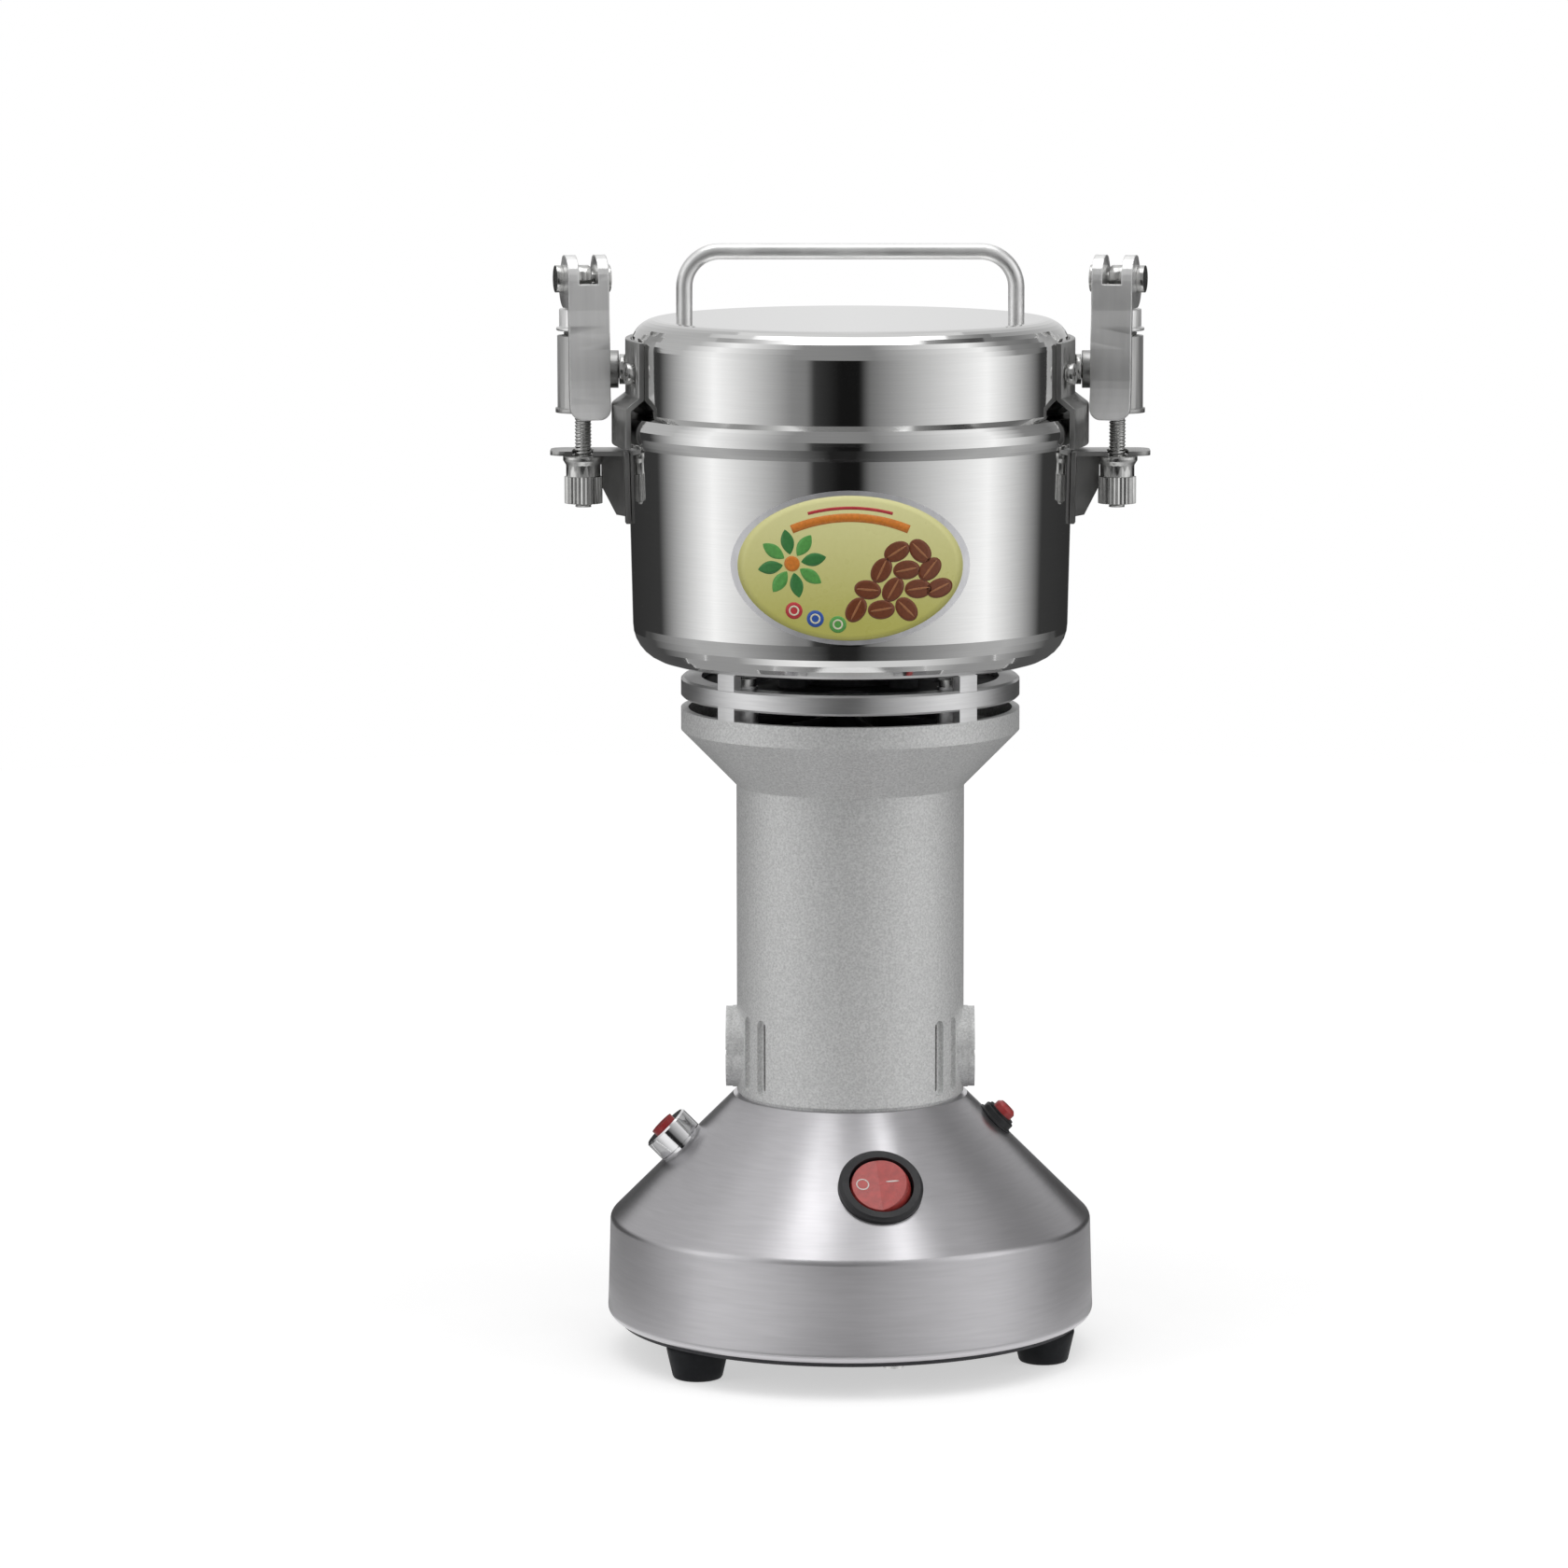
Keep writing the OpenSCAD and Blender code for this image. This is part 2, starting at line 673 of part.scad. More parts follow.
// Point of a helix about Z, and the tube swept along it
function helix_point(r, pitch, a) = [r * cos(a), r * sin(a), pitch * a / 360];

module coil(r_mid, wire_r, turns, length) {
    rings = turns * 8;
    sides = 6;
    pitch = (length - 2 * wire_r) / turns;
    lean = atan(pitch / (2 * PI * r_mid));
    points = [
        for (i = [0:rings])
            let (a = 360 * i / 8, mid = helix_point(r_mid, pitch, a))
                for (k = [0:sides - 1])
                    let (b = 360 * k / sides, u = wire_r * cos(b), v = wire_r * sin(b))
                        [
                            mid.x + u * cos(a) + v * sin(lean) * sin(a),
                            mid.y + u * sin(a) - v * sin(lean) * cos(a),
                            mid.z + v * cos(lean) + wire_r
                        ]
    ];
    side_faces = [
        for (i = [0:rings - 1])
            for (k = [0:sides - 1])
                let (p = i * sides + k, q = i * sides + (k + 1) % sides)
                    each [[p, p + sides, q], [q, p + sides, q + sides]]
    ];
    end_faces = [
        for (k = [1:sides - 2])
            each [[0, k, k + 1], [rings * sides, rings * sides + k + 1, rings * sides + k]]
    ];
    polyhedron(points, concat(side_faces, end_faces));
    least = min([for (i = [0:rings - 8]) norm(points[i * sides] - points[(i + 8) * sides])]) - 2 * wire_r;
    echo(least_gap_between_curls = least);
}

// Base

module control_seat(az, pos_r, r, hole_r) {
    depth = seat_depth(r + seat_wall, pos_r);
    on_cone(az, pos_r)
        translate([0, 0, -depth - seat_t])
            difference() {
                cylinder(r = r + seat_wall, h = seat_t);
                translate([0, 0, -eps]) cylinder(r = hole_r, h = seat_t + 2 * eps);
            }
}

module control_cut(az, pos_r, r, hole_r) {
    depth = seat_depth(r + seat_wall, pos_r);
    on_cone(az, pos_r) {
        translate([0, 0, -depth]) cylinder(r = r + seat_fit, h = depth + base_bend);
        translate([0, 0, -depth - base_bend - seat_t]) cylinder(r = hole_r, h = base_bend + seat_t + eps);
    }
}

module base_profile() {
    bend_mid = [shoulder_r - base_bend, shoulder_z];
    edge_mid = [base_r - base_bend, base_z + base_bend];
    normal = 90 - cone_slope;
    inner_start = bend_mid + (base_bend - base_t) * [cos(normal), sin(normal)];
    inner_top_z = column_z - base_t;
    inner_top_r = inner_start.x - (inner_top_z - inner_start.y) / tan(cone_slope);
    polygon(concat(
        [[base_flange_r, base_z]],
        arc(edge_mid, base_bend, 270, 360),
        arc(bend_mid, base_bend, 0, normal),
        [[lip_r, column_z], [base_hole_r, column_z], [base_hole_r, inner_top_z], [inner_top_r, inner_top_z]],
        arc(bend_mid, base_bend - base_t, normal, 0),
        arc(edge_mid, base_bend - base_t, 360, 270),
        [[base_flange_r, base_z + base_t]]
    ));
}

module base_shell() {
    color(steel_colour)
        difference() {
            union() {
                rotate_extrude() base_profile();
                control_seat(switch_az, switch_pos_r, bezel_r, switch_body_r + seat_fit);
                control_seat(push_az, pulse_pos_r, pulse_ring_r, pulse_barrel_r + seat_fit);
                control_seat(reset_az, reset_pos_r, reset_nut_r, reset_bush_r + seat_fit);
            }
            control_cut(switch_az, switch_pos_r, bezel_r, switch_body_r + seat_fit);
            control_cut(push_az, pulse_pos_r, pulse_ring_r, pulse_barrel_r + seat_fit);
            control_cut(reset_az, reset_pos_r, reset_nut_r, reset_bush_r + seat_fit);
            for (a = concat(foot_angles, plate_screw_angles))
                rotate([0, 0, a])
                    translate([foot_pos_r, 0, base_z - eps])
                        cylinder(r = screw_r + run_fit, h = base_t + 2 * eps);
            for (a = column_screw_angles)
                rotate([0, 0, a])
                    translate([column_screw_pos_r, 0, column_z - base_t - eps])
                        cylinder(r = screw_r + screw_fit, h = base_t + 2 * eps);
            translate([0, 0, gland_z])
                rotate([0, 0, 90])
                    x_cylinder(gland_neck_r + seat_fit, gland_in_r - base_bend, gland_out_r + base_bend);
        }
}

module bottom_plate() {
    color(iron_colour)
        difference() {
            translate([0, 0, plate_z]) cylinder(r = plate_r, h = plate_t);
            for (a = concat(foot_angles, plate_screw_angles))
                rotate([0, 0, a])
                    translate([foot_pos_r, 0, plate_z - eps])
                        cylinder(r = screw_r + screw_fit, h = plate_t + 2 * eps);
        }
}

module foot() {
    recess_z = plate_z - foot_web;
    difference() {
        cylinder(r1 = foot_r, r2 = foot_top_r, h = plate_z);
        translate([0, 0, -eps]) cylinder(r = foot_recess_r, h = recess_z + eps);
        cylinder(r = screw_r + screw_fit, h = plate_z + eps);
    }
}

module feet() {
    color(dark_colour)
        for (a = foot_angles)
            rotate([0, 0, a]) translate([foot_pos_r, 0, 0]) foot();
}

module casing_screws() {
    color(steel_colour) {
        for (a = foot_angles)
            rotate([0, 0, a]) translate([foot_pos_r, 0, plate_z - foot_web]) small_screw();
        for (a = plate_screw_angles)
            rotate([0, 0, a]) translate([foot_pos_r, 0, plate_z]) small_screw();
        for (a = column_screw_angles)
            rotate([0, 0, a]) translate([column_screw_pos_r, 0, column_z - base_t]) small_screw();
    }
}

module on_seat(az, pos_r, r) {
    on_cone(az, pos_r) translate([0, 0, -seat_depth(r + seat_wall, pos_r)]) children();
}

module switch_housing() {
    color(dark_colour)
        on_seat(switch_az, switch_pos_r, bezel_r)
            difference() {
                union() {
                    cylinder(r = bezel_r, h = bezel_h - 0.8);
                    translate([0, 0, bezel_h - 0.8]) cylinder(r1 = bezel_r, r2 = bezel_r - 0.8, h = 0.8);
                    translate([0, 0, -switch_body_h]) cylinder(r = switch_body_r, h = switch_body_h + eps);
                    for (x = [-terminal.y, 0, terminal.y])
                        translate([x - terminal.x / 2, -terminal.y / 2, -switch_body_h - terminal.z])
                            cube([terminal.x, terminal.y, terminal.z + eps]);
                }
                translate([0, 0, switch_floor_t - switch_body_h])
                    cylinder(r = rocker_hole_r, h = switch_body_h + bezel_h);
                translate([0, 0, bezel_h + rocker_axis_z - rocker_mid_h])
                    x_cylinder(rocker_stub_r + run_fit, -rocker_hole_r - 0.8, rocker_hole_r + 0.8);
            }
}

module rocker() {
    stub_x = rocker_hole_r + 0.7;
    outline = [
        [-rocker_base_w, -rocker_mid_h], [rocker_base_w, -rocker_mid_h],
        [rocker_r, 0], [rocker_r, rocker_wing_h], [0, rocker_mid_h], [-rocker_r, rocker_wing_h], [-rocker_r, 0]
    ];
    color(red_colour)
        on_seat(switch_az, switch_pos_r, bezel_r)
            translate([0, 0, bezel_h + rocker_axis_z - rocker_mid_h])
                rotate([rocker_tilt, 0, 0]) {
                    intersection() {
                        sphere(r = rocker_r);
                        side_plate(-rocker_r, rocker_r, outline);
                    }
                    x_cylinder(rocker_stub_r, -stub_x, stub_x);
                }
}

module pulse_housing() {
    edge = 0.5;
    color(steel_colour)
        on_seat(push_az, pulse_pos_r, pulse_ring_r)
            difference() {
                union() {
                    cylinder(r = pulse_ring_r, h = pulse_flange_t);
                    translate([0, 0, pulse_ring_z]) cylinder(r = pulse_ring_r, h = pulse_ring_h - edge);
                    translate([0, 0, pulse_top_z - edge])
                        cylinder(r1 = pulse_ring_r, r2 = pulse_ring_r - edge, h = edge);
                    translate([0, 0, -pulse_barrel_h])
                        cylinder(r = pulse_barrel_r, h = pulse_barrel_h + pulse_ring_z + eps);
                }
                translate([0, 0, pulse_top_z - pulse_cap_len - pulse_travel])
                    cylinder(r = pulse_cap_r + run_fit, h = pulse_cap_len + pulse_travel + eps);
            }
}

module pulse_button() {
    color(red_colour)
        on_seat(push_az, pulse_pos_r, pulse_ring_r)
            translate([0, 0, pulse_top_z + pulse_cap_h - pulse_cap_len])
                cylinder(r = pulse_cap_r, h = pulse_cap_len);
}

module breaker_body() {
    color(dark_colour)
        on_seat(reset_az, reset_pos_r, reset_nut_r)
            difference() {
                union() {
                    translate([-breaker_w / 2, -breaker_w / 2, -seat_t - breaker_h])
                        cube([breaker_w, breaker_w, breaker_h]);
                    translate([0, 0, -seat_t - eps]) cylinder(r = reset_bush_r, h = seat_t + reset_nut_h + 0.6);
                }
                translate([0, 0, -reset_button_len])
                    cylinder(r = reset_button_r + run_fit, h = reset_button_len + reset_nut_h + 1);
            }
}

module breaker_nut() {
    color(dark_colour)
        on_seat(reset_az, reset_pos_r, reset_nut_r)
            difference() {
                union() {
                    cylinder(r = reset_nut_r, h = reset_flange_t);
                    cylinder(r = reset_nut_r - reset_step, h = reset_nut_h);
                }
                translate([0, 0, -eps]) cylinder(r = reset_bush_r + run_fit, h = reset_nut_h + 2 * eps);
            }
}

module reset_button() {
    top_round = 0.8;
    stem_h = reset_button_len + reset_nut_h + reset_button_h - top_round;
    color(red_colour)
        on_seat(reset_az, reset_pos_r, reset_nut_r)
            translate([0, 0, free_fit - reset_button_len]) {
                cylinder(r = reset_button_r, h = stem_h);
                translate([0, 0, stem_h])
                    cylinder(r1 = reset_button_r, r2 = reset_button_r - top_round, h = top_round);
            }
}

module cord_gland() {
    nut_out_r = gland_in_r - 1;
    nut_in_r = nut_out_r - gland_nut_h;
    flange_r = gland_out_r + run_fit;
    color(dark_colour)
        translate([0, 0, gland_z])
            rotate([0, 0, 90])
                difference() {
                    union() {
                        x_cylinder(gland_flange_r, flange_r, flange_r + gland_flange_t);
                        x_cylinder(gland_neck_r, nut_in_r + 1, gland_out_r + gland_flange_t);
                        x_cylinder(gland_flange_r, nut_in_r, nut_out_r);
                    }
                    x_cylinder(gland_bore_r, nut_in_r - 1, gland_out_r + gland_flange_t + 1);
                }
}

// Motor housing and motor

module motor_housing_profile() {
    polygon([
        [column_r - groove_h, column_z], [column_r - groove_h, column_z + groove_h],
        [column_r, column_z + groove_h], [column_r, cup_cone_z], [cup_r, cup_band_z], [cup_r, cup_top_z],
        [cup_r - cup_t, cup_top_z], [cup_r - cup_t, cup_band_z], [column_in_r, cup_cone_z],
        [column_in_r, web_top_z], [seat_r, web_top_z], [seat_r, low_bearing_z],
        [bearing_hole_r, low_bearing_z], [bearing_hole_r, boss_z], [seat_out_r, boss_z], [seat_out_r, column_z]
    ]);
}

// Upright long hole of one width, from a radius outwards
module long_hole(w, from_r) {
    half = (slot_h - slot_w) / 2;
    for (z = [-half, half])
        translate([0, 0, z]) x_cylinder(w / 2, from_r, column_r + 1);
    translate([from_r, -w / 2, -half]) cube([column_r + 1 - from_r, w, 2 * half]);
}

// Air slot: a recess with a narrow slit through its floor
module air_slot() {
    long_hole(slot_w, column_r - slot_deep);
    long_hole(slit_w, column_in_r - 1);
}

module motor_housing() {
    color(silver_colour)
        difference() {
            union() {
                rotate_extrude() motor_housing_profile();
                for (a = [0, 180])
                    rotate([0, 0, a])
                        translate([0, 0, brush_axis_z]) x_cylinder(brush_boss_r, boss_in_x, boss_x);
                at_lugs(lug_base_z) cylinder(r = lug_r, h = lug_z - lug_base_z);
            }
            for (a = [0, 180])
                rotate([0, 0, a])
                    translate([0, 0, brush_axis_z]) {
                        x_cylinder(holder_r + seat_fit, boss_in_x - 1, boss_x + 1);
                        for (s = [-1, 1], i = [0, 1])
                            rotate([0, 0, s * (slot_angle + i * slot_pitch)]) air_slot();
                    }
            for (a = column_screw_angles)
                rotate([0, 0, a]) {
                    translate([column_screw_pos_r, 0, column_z - eps])
                        cylinder(r = screw_r + run_fit, h = web_t + 2 * eps);
                    rotate([0, 0, 45])
                        translate([web_hole_pos_r, 0, column_z - eps])
                            cylinder(r = web_hole_r, h = web_t + 2 * eps);
                }
            at_lugs(frame_screw_end_z)
                cylinder(r = bowl_screw_r + run_fit, h = lug_z - frame_screw_end_z + eps);
        }
}

// Places children at each fixing lug of the cooling frame
module at_lugs(z) {
    for (a = post_angles)
        rotate([0, 0, a]) translate([lug_pos_r, 0, z]) children();
}

// Places children at each bowl screw
module at_bowl_screws(z) {
    for (a = post_angles)
        rotate([0, 0, a]) translate([bowl_screw_pos_r, 0, z]) children();
}

module cooling_frame() {
    post_half = post_w / (2 * cup_r) * 180 / PI;
    color(silver_colour)
        difference() {
            union() {
                rotate_extrude()
                    polygon([
                        [ring_in_r - ledge_w, ring_z], [cup_r - ring_bevel, ring_z],
                        [cup_r, ring_z + ring_bevel],
                        [cup_r, ring_top_z - ring_bevel], [cup_r - ring_bevel, ring_top_z],
                        [ring_in_r, ring_top_z], [ring_in_r, bridge_z], [ring_in_r - ledge_w, bridge_z]
                    ]);
                for (a = post_angles)
                    sector(cup_r - post_t, cup_r - post_step, a - post_half, a + post_half, cup_top_z, bowl_z);
                at_lugs(lug_z) cylinder(r = lug_r, h = lug_top_z - lug_z);
            }
            at_lugs(lug_z - eps) cylinder(r = bowl_screw_r + screw_fit, h = lug_top_z - lug_z + 2 * eps);
        }
}

module frame_screws() {
    color(steel_colour)
        at_lugs(lug_top_z)
            rotate([180, 0, 0])
                screw(bowl_screw_r, lug_top_z - frame_screw_end_z - 1, bowl_screw_head_r, bowl_screw_head_h);
}

// Plate across the cooling ring, with the upper bearing's seat and the bosses under the bowl
module bearing_bridge() {
    color(dark_colour)
        difference() {
            union() {
                translate([0, 0, bridge_z]) cylinder(r = ring_in_r - seat_fit, h = bridge_t);
                tube(seat_out_r, bearing_hole_r, ring_z, high_seat_top_z + bearing_floor_t);
                at_bowl_screws(bridge_z) cylinder(r = bridge_boss_r, h = bowl_z - bridge_z);
            }
            translate([0, 0, ring_z - eps]) cylinder(r = seat_r, h = high_seat_top_z - ring_z + eps);
            at_lugs(ring_z) cylinder(r = lug_r + seat_fit, h = ring_h);
            at_bowl_screws(ring_z) cylinder(r = bowl_screw_r + run_fit, h = bowl_z - ring_z + eps);
            for (a = post_angles)
                rotate([0, 0, a + 45])
                    translate([bridge_hole_pos_r, 0, ring_z]) cylinder(r = bridge_hole_r, h = ring_h);
        }
}

module bearing(z) {
    groove = 0.4;
    race_r = (bearing_r + shaft_r) / 2;
    race_half = 1.6;
    color(steel_colour)
        difference() {
            tube(bearing_r, shaft_r + run_fit, z, z + bearing_w);
            for (z0 = [z - eps, z + bearing_w - groove])
                tube(race_r + race_half, race_r - race_half, z0, z0 + groove + eps);
        }
}

module upper_bearing() {
    bearing(high_bearing_z);
}

module lower_bearing() {
    bearing(low_bearing_z);
}

// Ring sector about Z between two angles
module sector(r_in, r_out, a0, a1, z0, z1) {
    rotate([0, 0, a0])
        rotate_extrude(angle = a1 - a0)
            polygon([[r_in, z0], [r_out, z0], [r_out, z1], [r_in, z1]]);
}

module stator_core() {
    color(iron_colour)
        difference() {
            tube(stator_r, stator_bore_r, stack_low_z, stack_top_z);
            for (a = [0, 180])
                rotate([0, 0, a])
                    sector(
                        stator_bore_r - 1, yoke_r, -window_angle, window_angle,
                        stack_low_z - 1, stack_top_z + 1
                    );
        }
}

module field_coils() {
    low_z = stack_low_z - coil_end_h;
    top_z = stack_top_z + coil_end_h;
    side_gap = 3;
    color(copper_colour)
        for (a = [0, 180])
            rotate([0, 0, a])
                difference() {
                    sector(coil_bore_r, coil_r, side_gap, 180 - side_gap, low_z, top_z);
                    sector(
                        coil_bore_r - 1, coil_r + 1,
                        window_angle - coil_fit * 2, 180 - window_angle + coil_fit * 2,
                        stack_low_z - coil_fit, stack_top_z + coil_fit
                    );
                }
}

module motor_shaft() {
    dome = 1.5;
    color(steel_colour)
        rotate_extrude()
            polygon([
                [0, shaft_low_z], [shaft_r, shaft_low_z], [shaft_r, collar_z], [collar_r, collar_z],
                [collar_r, blade_z], [shaft_r, blade_z], [shaft_r, shaft_top_z - dome],
                [shaft_r * 0.6, shaft_top_z - dome * 0.25], [0, shaft_top_z]
            ]);
}

module armature_core() {
    slots = 12;
    slot_mouth = 1.6;
    slot_deep = 4;
    color(iron_colour)
        difference() {
            tube(armature_r, shaft_r + run_fit, stack_low_z, stack_top_z);
            for (i = [0:slots - 1])
                rotate([0, 0, 360 * i / slots])
                    translate([armature_r - slot_deep, -slot_mouth / 2, stack_low_z - 1])
                        cube([slot_deep + 1, slot_mouth, stack_h + 2]);
        }
}

module armature_windings() {
    color(copper_colour) {
        tube(winding_r, shaft_r + run_fit, stack_low_z - winding_h, stack_low_z - run_fit);
        tube(winding_r, shaft_r + run_fit, stack_top_z + run_fit, stack_top_z + winding_h);
    }
}

module commutator() {
    bars = 24;
    bar_gap = 0.5;
    bar_deep = 0.6;
    color(copper_colour)
        difference() {
            tube(commutator_r, shaft_r + run_fit, commutator_z, commutator_z + commutator_h);
            for (i = [0:bars - 1])
                rotate([0, 0, 360 * i / bars])
                    translate([commutator_r - bar_deep, -bar_gap / 2, commutator_z - 1])
                        cube([bar_deep + 1, bar_gap, commutator_h + 2]);
        }
}

module cooling_fan() {
    color(dark_colour)
        difference() {
            union() {
                translate([0, 0, fan_z]) cylinder(r = fan_r, h = fan_plate_t);
                translate([0, 0, fan_z]) cylinder(r = fan_hub_r, h = fan_plate_t + fan_h);
                for (i = [0:fan_count - 1])
                    rotate([0, 0, 360 * i / fan_count])
                        translate([fan_hub_r - 1, -fan_blade_t / 2, fan_z])
                            cube([fan_r - fan_hub_r, fan_blade_t, fan_plate_t + fan_h]);
            }
            translate([0, 0, fan_z - eps]) cylinder(r = shaft_r + run_fit, h = fan_plate_t + fan_h + 2 * eps);
        }
}

module both_brushes() {
    for (a = [0, 180])
        rotate([0, 0, a]) translate([0, 0, brush_axis_z]) children();
}

module brush_caps() {
    cap_r = brush_boss_r - 0.2;
    cap_slot_w = 1.6;
    cap_slot_deep = 0.8;
    color(silver_colour)
        both_brushes()
            difference() {
                union() {
                    x_cylinder(cap_r, boss_x, boss_x + brush_cap_t);
                    x_cylinder(holder_r - seat_fit, holder_out_x + seat_fit, boss_x + eps);
                }
                translate([boss_x + brush_cap_t - cap_slot_deep, -cap_r, -cap_slot_w / 2])
                    cube([cap_slot_deep + 1, 2 * cap_r, cap_slot_w]);
            }
}

module brush_holders() {
    hole_w = brush_w + 2 * seat_fit;
    color(brass_colour)
        both_brushes()
            difference() {
                x_cylinder(holder_r, holder_in_x, holder_out_x);
                translate([holder_in_x - 1, -hole_w / 2, -hole_w / 2])
                    cube([holder_out_x - holder_in_x + 2, hole_w, hole_w]);
            }
}

module carbon_brushes() {
    color(dark_colour)
        both_brushes()
            translate([brush_x, -brush_w / 2, -brush_w / 2]) cube([brush_len, brush_w, brush_w]);
}

module brush_springs() {
    start = brush_x + brush_len + seat_fit;
    color(steel_colour)
        both_brushes()
            translate([start, 0, 0])
                rotate([0, 90, 0])
                    coil(
                        brush_spring_r - brush_spring_wire_r, brush_spring_wire_r,
                        brush_spring_turns, holder_out_x - start
                    );
}

// Bowl and blades

module grinding_bowl() {
    bend_mid = [bowl_r - bowl_bend, bowl_wall_z];
    bead_r = bowl_top_r + bead_w;
    color(steel_colour)
        difference() {
            rotate_extrude()
                polygon(concat(
                    [[seal_hole_r, bowl_z]],
                    arc(bend_mid, bowl_bend, 270, 360),
                    [[bowl_top_r, bead_z]],
                    [[bead_r, bead_z + bead_w], [bead_r, mouth_z - bead_w], [bowl_top_r, mouth_z]],
                    [[bowl_top_r - bowl_t, mouth_z], [bowl_top_r - bowl_t, bead_z]],
                    arc(bend_mid, bowl_bend - bowl_t, 360, 270),
                    [[seal_hole_r, bowl_floor_z]]
                ));
            at_bowl_screws(bowl_z - eps) cylinder(r = bowl_screw_r + screw_fit, h = bowl_t + 2 * eps);
        }
}

module bowl_screws() {
    color(steel_colour)
        at_bowl_screws(bowl_floor_z)
            rotate([180, 0, 0]) screw(bowl_screw_r, bowl_screw_len, bowl_screw_head_r, bowl_screw_head_h);
}

module shaft_seal() {
    bore = shaft_r + seat_fit;
    neck_z = high_seat_top_z + bearing_floor_t + 0.1;
    color(dark_colour)
        rotate_extrude()
            polygon([
                [bore, neck_z], [seal_hole_r - run_fit, neck_z],
                [seal_hole_r - run_fit, bowl_floor_z + run_fit],
                [seal_flange_r, bowl_floor_z + run_fit], [seal_flange_r, bowl_floor_z + seal_flange_t * 0.5],
                [seal_flange_r - 2, bowl_floor_z + seal_flange_t], [bore, bowl_floor_z + seal_flange_t]
            ]);
}

// Flat blade: one arm's outline and its half turn, round a bored hub
module flat_blade(z, arm) {
    color(steel_colour)
        translate([0, 0, z])
            difference() {
                linear_extrude(blade_t) {
                    circle(r = blade_hub_r);
                    for (a = [0, 180])
                        rotate([0, 0, a]) polygon(arm);
                }
                translate([0, 0, -eps]) cylinder(r = shaft_r + run_fit, h = blade_t + 2 * eps);
            }
}

module blade_lower() {
    r = blade_lower_r;
    w = blade_w;
    rotate([0, 0, 20])
        flat_blade(blade_z, [
            [0, -0.5 * w], [0.4 * r, -0.57 * w], [0.75 * r, -0.71 * w], [0.95 * r, -0.86 * w],
            [0.97 * r, -0.43 * w], [0.8 * r, -0.14 * w], [0.5 * r, 0.14 * w], [0.25 * r, 0.43 * w], [0, 0.5 * w]
        ]);
}

module blade_middle() {
    r = blade_middle_r;
    w = blade_w;
    rotate([0, 0, 80])
        flat_blade(
            blade_z + blade_step,
            [
                [0, -0.5 * w], [0.6 * r, -0.36 * w], [0.98 * r, -0.5 * w],
                [0.9 * r, 0.14 * w], [0.5 * r, 0.36 * w], [0, 0.5 * w]
            ]
        );
}

module blade_upper() {
    flat_r = blade_hub_r + blade_flat;
    tip = (blade_upper_r - flat_r) / cos(blade_rise);
    color(steel_colour)
        translate([0, 0, blade_z + 2 * blade_step])
            rotate([0, 0, 140])
                difference() {
                    union() {
                        cylinder(r = blade_hub_r, h = blade_t);
                        translate([-flat_r, -blade_bar_w / 2, 0]) cube([2 * flat_r, blade_bar_w, blade_t]);
                        for (a = [0, 180])
                            rotate([0, 0, a])
                                translate([flat_r, -blade_bar_w / 2, 0])
                                    rotate([0, -blade_rise, 0])
                                        translate([-blade_t / 2, 0, 0]) cube([tip, blade_bar_w, blade_t]);
                    }
                    translate([0, 0, -eps]) cylinder(r = shaft_r + run_fit, h = blade_t + 2 * eps);
                }
}

module blade_nut() {
    washer_t = 1.2;
    color(steel_colour)
        translate([0, 0, blade_nut_z])
            difference() {
                union() {
                    cylinder(r = blade_hub_r - 0.5, h = washer_t);
                    cylinder(r = blade_nut_r, h = blade_nut_h, $fn = 6);
                }
                translate([0, 0, -eps]) cylinder(r = shaft_r + run_fit, h = blade_nut_h + 2 * eps);
            }
}

// Hook for a clamp, on the right: back plate on the bowl, slotted shelf and a web behind the slot
module hook() {
    back_z = hook_z + hook_t - hook_back_h;
    top_z = hook_z + hook_t;
    in_fit = seat_fit;
    shelf_in_x = bowl_top_r + hook_t / 2;
    end_round = 4;
    shelf_out_x = clamp_x + hook_reach;
    back_y = gusset_y + hook_t;
    color(steel_colour) {
        rotate([0, 0, -hook_angle])
            rotate_extrude(angle = 2 * hook_angle)
                polygon([
                    [bowl_r_at(back_z) + in_fit, back_z], [bowl_r_at(back_z) + in_fit + hook_t, back_z],
                    [bowl_r_at(top_z) + in_fit + hook_t, top_z], [bowl_r_at(top_z) + in_fit, top_z]
                ]);
        translate([0, 0, hook_z])
            linear_extrude(hook_t)
                difference() {
                    union() {
                        translate([shelf_in_x, -hook_prong])
                            square([shelf_out_x - end_round - shelf_in_x, hook_prong + back_y]);
                        translate([shelf_out_x - 2 * end_round, end_round - hook_prong])
                            square([2 * end_round, hook_prong + back_y - 2 * end_round]);
                        for (y = [end_round - hook_prong, back_y - end_round])
                            translate([shelf_out_x - end_round, y]) circle(r = end_round);
                    }
                    translate([clamp_x, 0]) circle(r = hook_slot_w / 2);
                    translate([clamp_x - hook_slot_w / 2, -big]) square([hook_slot_w, big]);
                }
        translate([0, gusset_y + hook_t, 0])
            rotate([90, 0, 0])
                linear_extrude(hook_t)
                    polygon([
                        [shelf_in_x, hook_z + eps], [gusset_out_x, hook_z + eps],
                        [gusset_out_x, hook_z - gusset_out_drop], [gusset_foot_x, back_z + 1],
                        [shelf_in_x, back_z + 0.5]
                    ]);
    }
}

module hook_right() {
    hook();
}

module hook_left() {
    mirror([1, 0, 0]) hook();
}

